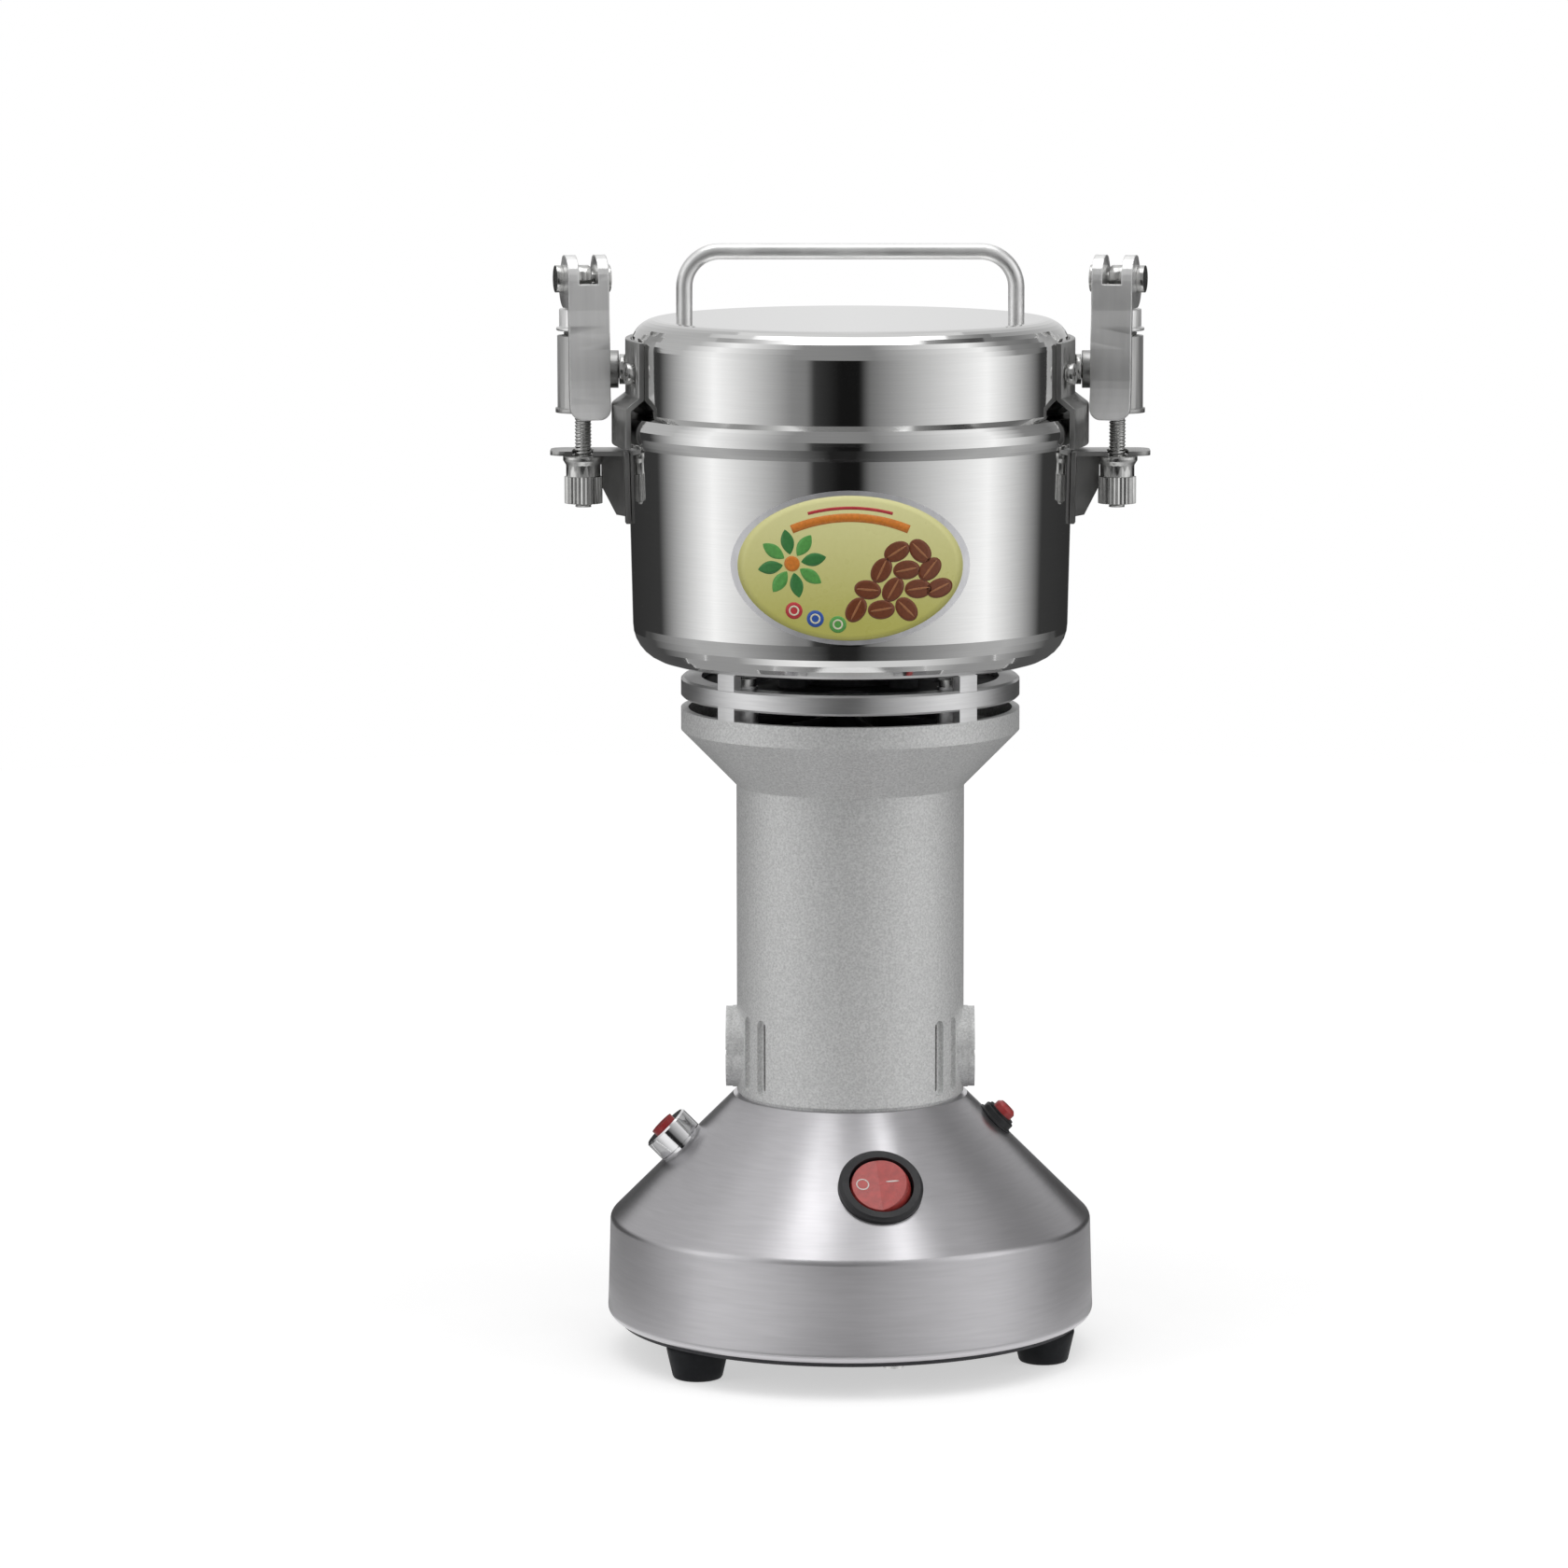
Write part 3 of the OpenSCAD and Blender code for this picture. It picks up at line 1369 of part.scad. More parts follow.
module bowl_label() {
    label_mid_z = bowl_z + label_z;
    z0 = label_mid_z - label_h / 2 - 1;
    z1 = label_mid_z + label_h / 2 + 1;
    steps = 72;
    fit = run_fit;
    color(label_colour)
        intersection() {
            rotate_extrude()
                polygon([
                    [bowl_r_at(z0) + fit, z0], [bowl_r_at(z0) + fit + label_t, z0],
                    [bowl_r_at(z1) + fit + label_t, z1], [bowl_r_at(z1) + fit, z1]
                ]);
            translate([0, 0, label_mid_z])
                rotate([90, 0, 0])
                    linear_extrude(bowl_r + 5)
                        polygon([
                            for (i = [0:steps - 1])
                                [label_w / 2 * cos(360 * i / steps), label_h / 2 * sin(360 * i / steps)]
                        ]);
        }
}

// Lid

// Turns children to each bracket screw, with +X along its axis
module at_bracket_screws() {
    for (side = [0, 180], a = [-bracket_screw_angle, bracket_screw_angle])
        rotate([0, 0, side + a]) translate([0, 0, pivot_abs_z]) children();
}

module lid_shell() {
    bend_mid = [lid_r - lid_bend, lid_top_z - lid_bend];
    rim_mid = [rim_axis_r, rim_mid_z];
    in_bulge = rim_bulge - lid_t + 0.2;
    color(steel_colour)
        difference() {
            rotate_extrude()
                polygon(concat(
                    [[0, lid_top_z]],
                    arc(bend_mid, lid_bend, 90, 0),
                    [[lid_r, step_z]],
                    arc(rim_mid, rim_bulge, rim_half_angle, -rim_half_angle),
                    arc(rim_mid, in_bulge, -rim_half_angle, rim_half_angle * 0.85),
                    [[lid_r - lid_t, step_z - lid_t * 0.8]],
                    arc(bend_mid, lid_bend - lid_t, 0, 90),
                    [[0, lid_top_z - lid_t]]
                ));
            at_bracket_screws() x_cylinder(screw_r + run_fit, lid_r - 3 * lid_t, lip_out_r);
        }
}

module lid_seal() {
    color(dark_colour) tube(seal_out_r, seal_in_r, mouth_z, mouth_z + seal_t);
}

module lid_handle() {
    leg_h = handle_h - handle_bend;
    bar = handle_span - 2 * handle_bend;
    color(steel_colour)
        translate([0, 0, lid_top_z]) {
            for (s = [0, 1])
                mirror([s, 0, 0]) {
                    translate([handle_span / 2, 0, 0]) cylinder(r = handle_rod_r, h = leg_h);
                    translate([bar / 2, 0, leg_h])
                        rotate([90, 0, 0])
                            rotate_extrude(angle = 90) translate([handle_bend, 0]) circle(r = handle_rod_r);
                }
            translate([0, 0, handle_h]) x_cylinder(handle_rod_r, -bar / 2, bar / 2);
        }
}

module lid_bracket() {
    top_z = pivot_abs_z + bracket_top;
    bend_z = pivot_abs_z - pivot_boss_r - 1;
    drop_z = 2.8;
    slant = bracket_t * 0.5;
    color(steel_colour)
        difference() {
            rotate([0, 0, -bracket_angle])
                rotate_extrude(angle = 2 * bracket_angle)
                    polygon([
                        [bracket_in_r, top_z], [bracket_out_r, top_z], [bracket_out_r, bend_z],
                        [lip_out_r, bend_z - drop_z], [lip_out_r, lip_low_z], [lip_in_r, lip_low_z],
                        [lip_in_r, bend_z - drop_z - slant], [bracket_in_r, bend_z - slant]
                    ]);
            translate([0, 0, pivot_abs_z]) {
                x_cylinder(rivet_r + run_fit, lid_r - 2, lip_out_r);
                for (a = [-bracket_screw_angle, bracket_screw_angle])
                    rotate([0, 0, a]) x_cylinder(screw_r + screw_fit, lid_r - 3, lip_out_r);
            }
        }
}

module lid_bracket_right() {
    lid_bracket();
}

module lid_bracket_left() {
    mirror([1, 0, 0]) lid_bracket();
}

module bracket_screws() {
    color(steel_colour)
        at_bracket_screws() translate([bracket_out_r, 0, 0]) rotate([0, -90, 0]) small_screw();
}

module pivot_rivets() {
    color(steel_colour)
        for (side = [0, 1])
            mirror([side, 0, 0])
                translate([0, 0, pivot_abs_z]) {
                    x_cylinder(rivet_r, bracket_in_r, rivet_tip_x);
                    x_cylinder(rivet_flange_r, rivet_flange_x, boss_face_x - free_fit);
                }
}

// Clamp pieces, drawn for the right and mirrored for the left

module clamp_sleeve() {
    color(steel_colour)
        difference() {
            union() {
                translate([clamp_x, 0, sleeve_floor_z]) cylinder(r = sleeve_r, h = sleeve_floor_t + sleeve_h);
                translate([clamp_x, 0, sleeve_floor_z])
                    cylinder(r = sleeve_r + sleeve_lip, h = sleeve_floor_t / 2);
                translate([0, 0, pivot_abs_z]) x_cylinder(pivot_boss_r, boss_face_x, clamp_x - sleeve_in_r + 1);
            }
            translate([clamp_x, 0, sleeve_z]) cylinder(r = sleeve_in_r, h = sleeve_h + 1);
            translate([clamp_x, 0, sleeve_floor_z - 1]) cylinder(r = rod_hole_r, h = sleeve_floor_t + 2);
            translate([0, 0, pivot_abs_z]) x_cylinder(rivet_r + run_fit, boss_face_x - 1, rivet_tip_x + 0.2);
        }
}

module clamp_spring() {
    color(steel_colour)
        translate([clamp_x, 0, sleeve_z + 0.1])
            coil(spring_r - spring_wire_r, spring_wire_r, spring_turns, spring_len);
}

module clamp_hat() {
    color(steel_colour)
        translate([clamp_x, 0, 0])
            difference() {
                union() {
                    translate([0, 0, hat_z]) cylinder(r = hat_brim_r, h = hat_brim_t);
                    translate([0, 0, hat_z]) cylinder(r = hat_crown_r, h = hat_h);
                    translate([0, 0, hat_z - hat_guide_h]) cylinder(r = hat_guide_r, h = hat_guide_h + eps);
                }
                translate([0, 0, hat_z - hat_guide_h - 1])
                    cylinder(r = rod_hole_r, h = hat_guide_h + hat_h + 2);
            }
}

// Turns the lever, its pin and the rod's eye about the rod, towards the lid
module lever_turned() {
    rotate([0, 0, -lever_yaw]) children();
}

module clamp_rod() {
    color(steel_colour)
        translate([clamp_x, 0, 0])
            difference() {
                union() {
                    translate([0, 0, rod_low_z]) cylinder(r = rod_r, h = pin_z - eye_r / 2 - rod_low_z);
                    translate([0, 0, pin_z]) lever_turned() x_cylinder(eye_r, -eye_w / 2, eye_w / 2);
                }
                translate([0, 0, pin_z]) lever_turned() x_cylinder(pin_r + run_fit, -eye_w, eye_w);
            }
}

module clamp_nut() {
    neck_z = nut_z - nut_collar_h - nut_neck_h;
    knurl_z = neck_z - nut_knurl_h;
    color(steel_colour)
        translate([clamp_x, 0, 0])
            difference() {
                union() {
                    translate([0, 0, neck_z + nut_neck_h])
                        cylinder(r1 = nut_neck_r, r2 = nut_collar_r, h = nut_collar_h * 0.5);
                    translate([0, 0, nut_z - nut_collar_h * 0.5])
                        cylinder(r = nut_collar_r, h = nut_collar_h * 0.5);
                    translate([0, 0, neck_z]) cylinder(r = nut_neck_r, h = nut_neck_h);
                    translate([0, 0, knurl_z])
                        linear_extrude(nut_knurl_h)
                            polygon([
                                for (i = [0:2 * nut_ridges - 1])
                                    (nut_r - knurl_depth * (i % 2))
                                        * [cos(180 * i / nut_ridges), sin(180 * i / nut_ridges)]
                            ]);
                }
                translate([0, 0, knurl_z - 1]) cylinder(r = rod_r + run_fit, h = nut_z - knurl_z + 2);
            }
}

// Cam point whose tangent is square to the turn a, so that the ear keeps its gap to the hat as the rod drops
function cam_point(a) =
    (cam_r - rod_drop * a / lever_turn) * [sin(a), -cos(a)] - cam_rate * [cos(a), sin(a)];

// Point of the lever's plate at a share of its length below the crease, for a face that starts at y
function lever_point(share, y) =
    let (
        bow = lever_bow * sin(90 * min(1, share / bow_share)),
        flare = (lever_flare - lever_bow) * pow(max(0, (share - flare_share) / (1 - flare_share)), 2)
    )
    [-y - bow - flare, -lever_crease - share * (lever_len - lever_crease)];

module clamp_lever() {
    ear_mid = [ear_round - lever_out_y, 0];
    ear_start = 65;
    ear = concat(
        [for (i = [0:cam_steps]) cam_point(lever_turn * i / cam_steps)],
        arc(ear_mid, ear_round, ear_start, 180),
        [[-lever_out_y, -cam_r]]
    );
    plate = concat(
        [[-lever_out_y, -1]],
        [for (i = [0:plate_steps]) lever_point(i / plate_steps, lever_out_y)],
        [for (i = [plate_steps:-1:0]) lever_point(i / plate_steps, lever_in_y)],
        [[-lever_in_y, -1]]
    );
    color(steel_colour)
        translate([clamp_x, 0, pin_z]) lever_turned()
            difference() {
                union() {
                    side_plate(-lever_half_w, -ear_x, ear);
                    side_plate(ear_x, lever_half_w, ear);
                    intersection() {
                        side_plate(-lever_half_w, lever_half_w, plate);
                        translate([0, 1 - lever_in_y, 0])
                            rotate([90, 0, 0])
                                linear_extrude(2 * lever_out_y) {
                                    for (s = [-1, 1])
                                        translate([s * (lever_half_w - lever_end_r), lever_end_r - lever_len])
                                            circle(r = lever_end_r);
                                    translate([lever_end_r - lever_half_w, -lever_len])
                                        square([2 * (lever_half_w - lever_end_r), lever_len]);
                                    translate([-lever_half_w, lever_end_r - lever_len])
                                        square([2 * lever_half_w, lever_len]);
                                }
                    }
                }
                x_cylinder(pin_r + run_fit, -2 * lever_half_w, 2 * lever_half_w);
            }
}

module clamp_pin() {
    color(steel_colour)
        translate([clamp_x, 0, pin_z]) lever_turned() {
            x_cylinder(pin_r, -lever_half_w - run_fit, lever_half_w + run_fit);
            for (s = [0, 1])
                mirror([s, 0, 0])
                    x_cylinder(pin_head_r, lever_half_w + run_fit - eps, lever_half_w + run_fit + pin_head_t);
        }
}

module left_side() {
    mirror([1, 0, 0]) children();
}

base_shell();
bottom_plate();
feet();
casing_screws();
switch_housing();
rocker();
pulse_housing();
pulse_button();
breaker_body();
breaker_nut();
reset_button();
cord_gland();
motor_housing();
stator_core();
field_coils();
motor_shaft();
armature_core();
armature_windings();
commutator();
cooling_fan();
upper_bearing();
lower_bearing();
cooling_frame();
bearing_bridge();
frame_screws();
brush_caps();
brush_holders();
carbon_brushes();
brush_springs();
grinding_bowl();
bowl_screws();
shaft_seal();
blade_lower();
blade_middle();
blade_upper();
blade_nut();
hook_left();
hook_right();
bowl_label();
lid_shell();
lid_seal();
lid_handle();
lid_bracket_left();
lid_bracket_right();
bracket_screws();
pivot_rivets();
left_side() clamp_sleeve();  // clamp_sleeve_left
left_side() clamp_spring();  // clamp_spring_left
left_side() clamp_hat();  // clamp_hat_left
left_side() clamp_rod();  // clamp_rod_left
left_side() clamp_nut();  // clamp_nut_left
left_side() clamp_lever();  // clamp_lever_left
left_side() clamp_pin();  // clamp_pin_left
clamp_sleeve();  // clamp_sleeve_right
clamp_spring();  // clamp_spring_right
clamp_hat();  // clamp_hat_right
clamp_rod();  // clamp_rod_right
clamp_nut();  // clamp_nut_right
clamp_lever();  // clamp_lever_right
clamp_pin();  // clamp_pin_right
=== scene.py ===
"""Studio scene of a clamped-lid electric grinder, in metres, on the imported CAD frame."""
import json
import math

import bpy
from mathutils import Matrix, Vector
from mathutils.bvhtree import BVHTree


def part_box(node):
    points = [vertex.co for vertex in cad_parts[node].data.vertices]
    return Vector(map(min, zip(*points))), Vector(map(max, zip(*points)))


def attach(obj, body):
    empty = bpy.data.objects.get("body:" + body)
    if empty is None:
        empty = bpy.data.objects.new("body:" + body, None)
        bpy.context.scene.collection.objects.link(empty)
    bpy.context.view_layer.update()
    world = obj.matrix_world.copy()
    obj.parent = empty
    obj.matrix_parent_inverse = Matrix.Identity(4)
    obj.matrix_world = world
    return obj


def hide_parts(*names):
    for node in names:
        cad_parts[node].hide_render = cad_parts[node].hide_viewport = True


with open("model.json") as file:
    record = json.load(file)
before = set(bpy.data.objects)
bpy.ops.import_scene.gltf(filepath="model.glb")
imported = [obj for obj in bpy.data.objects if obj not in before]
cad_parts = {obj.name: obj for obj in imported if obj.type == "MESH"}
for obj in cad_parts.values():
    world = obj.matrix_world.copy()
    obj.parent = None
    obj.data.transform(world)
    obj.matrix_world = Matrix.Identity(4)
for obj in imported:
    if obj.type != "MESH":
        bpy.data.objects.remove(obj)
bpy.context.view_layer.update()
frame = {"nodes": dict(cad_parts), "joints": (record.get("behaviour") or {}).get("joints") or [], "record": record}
nodes = frame["nodes"]
MM = 0.001
SIDES = ("left", "right")

# View of the photograph
IMAGE_PX = 1680
MM_PER_PX = 0.25
AXIS_PX = 911
CAMERA_DISTANCE = 1.72
CAMERA_HEIGHT = 0.395
AIM_HEIGHT = 0.154
SENSOR_MM = 36


# Material building blocks

NOISE_LOW = 0.3
NOISE_HIGH = 0.7
LATHE_LINES = 2600.0
LATHE_ALONG = 5.0
LATHE_DETAIL = 2.0
LEAST_R = 1e-5
QUARTER_TURN = 0.25


class Finish:
    """One procedural material: a Principled shader and the nodes that feed it."""

    def __init__(self, name, colour, metallic=0.0, roughness=0.5, **sockets):
        self.material = bpy.data.materials.new(name)
        self.material.use_nodes = True
        self.tree = self.material.node_tree
        self.shader = self.tree.nodes["Principled BSDF"]
        self.set("Base Color", (*colour, 1))
        self.set("Metallic", metallic)
        self.set("Roughness", roughness)
        for socket, value in sockets.items():
            self.set(socket.replace("_", " ").title().replace("Ior", "IOR"), value)

    def set(self, socket, value):
        self.shader.inputs[socket].default_value = value

    def node(self, kind, **settings):
        node = self.tree.nodes.new(kind)
        for key, value in settings.items():
            setattr(node, key, value)
        return node

    def link(self, output, target):
        self.tree.links.new(output, target)

    def show(self, shader):
        """Makes another shader than the Principled one the material's surface."""
        self.link(shader.outputs[0], self.tree.nodes["Material Output"].inputs[0])

    def math(self, operation, first, second=None):
        node = self.node("ShaderNodeMath", operation=operation)
        for target, value in zip(node.inputs, (first, second)):
            if value is None:
                continue
            if isinstance(value, (int, float)):
                target.default_value = value
            else:
                self.link(value, target)
        return node.outputs[0]

    def place(self):
        return self.node("ShaderNodeTexCoord").outputs["Object"]

    def place_xyz(self):
        split = self.node("ShaderNodeSeparateXYZ")
        self.link(self.place(), split.inputs[0])
        return split.outputs

    def noise(self, scale, detail=3.0, roughness=0.55, stretch=(1, 1, 1)):
        mapping = self.node("ShaderNodeMapping")
        mapping.inputs["Scale"].default_value = stretch
        self.link(self.place(), mapping.inputs["Vector"])
        noise = self.node("ShaderNodeTexNoise")
        noise.inputs["Scale"].default_value = scale
        noise.inputs["Detail"].default_value = detail
        noise.inputs["Roughness"].default_value = roughness
        self.link(mapping.outputs[0], noise.inputs["Vector"])
        return noise.outputs["Fac"]

    def lathe_marks(self, lines):
        """Fine lines round the motor axis, as a turned or spun surface has."""
        x, y, z = self.place_xyz()
        square = self.math("ADD", self.math("MULTIPLY", x, x), self.math("MULTIPLY", y, y))
        radius = self.math("SQRT", square)
        divisor = self.math("MAXIMUM", radius, LEAST_R)
        joined = self.node("ShaderNodeCombineXYZ")
        self.link(self.math("MULTIPLY", radius, lines), joined.inputs[0])
        self.link(self.math("MULTIPLY", z, lines), joined.inputs[1])
        self.link(self.math("MULTIPLY", self.math("DIVIDE", x, divisor), LATHE_ALONG), joined.inputs[2])
        noise = self.node("ShaderNodeTexNoise", noise_dimensions="4D")
        noise.inputs["Scale"].default_value = 1.0
        noise.inputs["Detail"].default_value = LATHE_DETAIL
        self.link(joined.outputs[0], noise.inputs["Vector"])
        self.link(self.math("MULTIPLY", self.math("DIVIDE", y, divisor), LATHE_ALONG), noise.inputs["W"])
        return noise.outputs["Fac"]

    def tint(self, fac, low, high, start=NOISE_LOW, end=NOISE_HIGH):
        """Colour that runs from low to high as fac does."""
        ramp = self.node("ShaderNodeValToRGB")
        ramp.color_ramp.elements[0].position = start
        ramp.color_ramp.elements[1].position = end
        ramp.color_ramp.elements[0].color = (*low, 1)
        ramp.color_ramp.elements[1].color = (*high, 1)
        self.link(fac, ramp.inputs[0])
        self.link(ramp.outputs[0], self.shader.inputs["Base Color"])

    def gloss(self, fac, low, high):
        """Roughness that runs from low to high as fac does."""
        spread = self.node("ShaderNodeMapRange")
        spread.inputs["From Min"].default_value = NOISE_LOW
        spread.inputs["From Max"].default_value = NOISE_HIGH
        spread.inputs["To Min"].default_value = low
        spread.inputs["To Max"].default_value = high
        self.link(fac, spread.inputs["Value"])
        self.link(spread.outputs[0], self.shader.inputs["Roughness"])

    def relief(self, fac, strength, depth_mm, edge_mm=0.0):
        """Bump from fac, over edges that catch the light as if rounded by edge_mm."""
        bump = self.node("ShaderNodeBump")
        if edge_mm:
            edge = self.node("ShaderNodeBevel")
            edge.inputs["Radius"].default_value = edge_mm * MM
            self.link(edge.outputs[0], bump.inputs["Normal"])
        bump.inputs["Strength"].default_value = strength
        bump.inputs["Distance"].default_value = depth_mm * MM
        self.link(fac, bump.inputs["Height"])
        self.link(bump.outputs[0], self.shader.inputs["Normal"])

    def brush_round_axis(self, amount):
        self.set("Anisotropic", amount)
        self.set("Anisotropic Rotation", QUARTER_TURN)
        tangent = self.node("ShaderNodeTangent", direction_type="RADIAL", axis="Z")
        self.link(tangent.outputs[0], self.shader.inputs["Tangent"])


def scaled(colour, factor):
    return tuple(min(1.0, c * factor) for c in colour)


def spun_steel(name, grey, rough, spread, anisotropy, relief, lines=LATHE_LINES):
    finish = Finish(name, grey, metallic=1.0, roughness=rough)
    marks = finish.lathe_marks(lines)
    finish.tint(marks, scaled(grey, 1 - spread), scaled(grey, 1 + spread))
    finish.gloss(finish.noise(scale=45, detail=4), low=rough * 0.94, high=rough * 1.12)
    finish.relief(marks, relief, depth_mm=0.02)
    finish.brush_round_axis(anisotropy)
    return finish.material


def bright_metal(name, grey, rough, grain=320.0, spread=0.06, stretch=(1, 1, 0.15), edge_mm=0.0):
    finish = Finish(name, grey, metallic=1.0, roughness=rough)
    wear = finish.noise(grain, detail=4, stretch=stretch)
    finish.tint(wear, scaled(grey, 1 - spread), scaled(grey, 1 + spread))
    finish.gloss(finish.noise(scale=90), low=rough * 0.8, high=rough * 1.3)
    finish.relief(wear, strength=0.10, depth_mm=0.03, edge_mm=edge_mm)
    return finish.material


def blasted_paint(name, grey):
    finish = Finish(name, grey, metallic=0.45, roughness=0.44)
    speckle = finish.noise(scale=1700, detail=2, roughness=0.7)
    finish.tint(speckle, scaled(grey, 0.84), scaled(grey, 1.14), start=0.36, end=0.66)
    finish.gloss(finish.noise(scale=900), low=0.42, high=0.54)
    finish.relief(speckle, strength=0.30, depth_mm=0.03)
    return finish.material


def moulded(name, colour, rough, grain=900.0, depth_mm=0.03, **sockets):
    finish = Finish(name, colour, roughness=rough, **sockets)
    grainy = finish.noise(grain)
    finish.tint(grainy, scaled(colour, 0.85), scaled(colour, 1.15))
    finish.gloss(finish.noise(scale=120), low=rough * 0.85, high=rough * 1.2)
    finish.relief(grainy, strength=0.25, depth_mm=depth_mm)
    return finish.material


def ink(name, colour):
    finish = Finish(name, colour, roughness=0.32)
    fibre = finish.noise(scale=1400)
    finish.tint(fibre, scaled(colour, 0.88), scaled(colour, 1.12))
    finish.gloss(finish.noise(scale=160, detail=2), low=0.26, high=0.40)
    return finish.material


# The materials of the CAD nodes, by name: a slot's, or for a few nodes a darker copy of their slot's steel, as
# painted shade

MATERIALS = {}


def add_finish(recipe, name, colour, **settings):
    MATERIALS[name] = recipe(name, colour, **settings)


add_finish(spun_steel, "brushed_base", (0.625, 0.615, 0.635),
           rough=0.30, spread=0.04, anisotropy=0.8, relief=0.02, lines=1100.0)
add_finish(spun_steel, "stainless_steel", (0.72, 0.72, 0.715),
           rough=0.06, spread=0.02, anisotropy=0.25, relief=0.03)
add_finish(spun_steel, "satin_aluminium", (0.80, 0.80, 0.805),
           rough=0.34, spread=0.05, anisotropy=0.3, relief=0.08, lines=1800.0)
add_finish(moulded, "dark_sheet", (0.045, 0.045, 0.05), rough=0.6)
add_finish(moulded, "foot_rubber", (0.010, 0.011, 0.013),
           rough=0.62, grain=700.0, depth_mm=0.05, specular_ior_level=0.25)
add_finish(bright_metal, "fastener_steel", (0.66, 0.66, 0.65), rough=0.20)
add_finish(moulded, "black_plastic", (0.018, 0.018, 0.02), rough=0.42)
add_finish(moulded, "red_rocker", (0.47, 0.062, 0.056),
           rough=0.26, grain=500.0, depth_mm=0.01, coat_weight=0.35)
add_finish(bright_metal, "chrome_ring", (0.78, 0.78, 0.79), rough=0.08, grain=200.0, spread=0.03)
add_finish(moulded, "red_cap", (0.36, 0.02, 0.022),
           rough=0.3, grain=500.0, depth_mm=0.01, coat_weight=0.3)
add_finish(moulded, "red_reset", (0.46, 0.04, 0.042),
           rough=0.3, grain=500.0, depth_mm=0.01, coat_weight=0.3)
add_finish(blasted_paint, "silver_paint", (0.82, 0.825, 0.82))
add_finish(bright_metal, "lamination", (0.28, 0.28, 0.30),
           rough=0.45, grain=800.0, spread=0.2, stretch=(0.2, 0.2, 4))
add_finish(bright_metal, "copper", (0.68, 0.34, 0.18), rough=0.34, grain=600.0, spread=0.12)
add_finish(bright_metal, "shaft_steel", (0.62, 0.62, 0.63), rough=0.20)
add_finish(moulded, "fan_plastic", (0.035, 0.035, 0.038), rough=0.5)
add_finish(bright_metal, "brass", (0.70, 0.52, 0.22), rough=0.3)
add_finish(moulded, "carbon", (0.03, 0.03, 0.03), rough=0.7)
add_finish(bright_metal, "spring_steel", (0.55, 0.55, 0.55), rough=0.20)
add_finish(moulded, "seal_rubber", (0.05, 0.05, 0.052), rough=0.55)
add_finish(bright_metal, "blade_steel", (0.68, 0.68, 0.68), rough=0.2)
# One clamp steel in three greys: the levers' pale grey is painted light, and the darker copies for sleeves,
# brackets and hooks are painted shade
add_finish(bright_metal, "clamp_steel", (0.92, 0.92, 0.915),
           rough=0.36, grain=420.0, spread=0.05, stretch=(1, 1, 0.08), edge_mm=0.6)
add_finish(bright_metal, "sleeve_steel", (0.46, 0.46, 0.455),
           rough=0.36, grain=420.0, spread=0.06, stretch=(1, 1, 0.08), edge_mm=0.3)
add_finish(bright_metal, "clamp_plate", (0.40, 0.40, 0.395),
           rough=0.36, grain=420.0, spread=0.08, stretch=(1, 1, 0.3))
add_finish(bright_metal, "plated_rod", (0.62, 0.62, 0.61),
           rough=0.20, grain=500.0, spread=0.08, stretch=(1, 1, 1))
add_finish(bright_metal, "handle_steel", (0.92, 0.92, 0.915),
           rough=0.38, grain=380.0, spread=0.04, stretch=(0.3, 1, 1))
add_finish(bright_metal, "label", (0.80, 0.80, 0.82), rough=0.42)

# Plates and sleeves of the clamps get darker copies of the levers' pale steel, whose slot they share: painted
# shade
SHADED_COPY = {}
for side in SIDES:
    SHADED_COPY[f"lid_bracket_{side}"] = "clamp_plate"
    SHADED_COPY[f"hook_{side}"] = "clamp_plate"
    SHADED_COPY[f"clamp_sleeve_{side}"] = "sleeve_steel"

for part in frame["record"]["subparts"]:
    slots = nodes[part["node"]].data.materials
    slots.clear()
    slots.append(MATERIALS[SHADED_COPY.get(part["node"], part["material_slot"])])


# Soft edges on pressed, turned and moulded pieces

WELD_GAP = 1e-6
SOFT_STEPS = 2
SOFT_ANGLE = math.radians(32)
SOFT_MM = {
    "brush_caps": 0.6, "feet": 0.8, "switch_housing": 0.8, "rocker": 0.45, "breaker_nut": 0.3,
    "reset_button": 0.3, "pulse_button": 0.25, "lid_bracket_left": 0.25, "lid_bracket_right": 0.25,
    "hook_left": 0.3, "hook_right": 0.3, "bracket_screws": 0.25, "pivot_rivets": 0.3, "cord_gland": 0.4,
}
CLAMP_SOFT_MM = {"lever": 0.35, "hat": 0.3, "sleeve": 0.2, "nut": 0.12, "pin": 0.5}


def soften(name, width_mm):
    weld = nodes[name].modifiers.new("weld", "WELD")
    weld.merge_threshold = WELD_GAP
    bevel = nodes[name].modifiers.new("soft_edges", "BEVEL")
    bevel.width = width_mm * MM
    bevel.segments = SOFT_STEPS
    bevel.limit_method = "ANGLE"
    bevel.angle_limit = SOFT_ANGLE
    bevel.harden_normals = True


for name, width_mm in SOFT_MM.items():
    soften(name, width_mm)
for side in SIDES:
    for kind, width_mm in CLAMP_SOFT_MM.items():
        soften(f"clamp_{kind}_{side}", width_mm)


# Meshes made here

def add_piece(name, vertices, faces, material, body):
    mesh = bpy.data.meshes.new(name)
    mesh.from_pydata(vertices, [], faces)
    mesh.validate()
    mesh.shade_smooth()
    mesh.materials.append(material)
    piece = bpy.data.objects.new(name, mesh)
    bpy.context.collection.objects.link(piece)
    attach(piece, body)
    return piece


def grid_faces(rows, columns, first=0, closed=True):
    """Quads of a grid of rows of points, where a closed row runs back to its start."""
    faces = []
    for r in range(rows - 1):
        for c in range(columns if closed else columns - 1):
            nxt = (c + 1) % columns
            low = first + r * columns
            high = low + columns
            faces.append((low + c, low + nxt, high + nxt, high + c))
    return faces


# Threaded clamp rods with their eyes, in millimetres

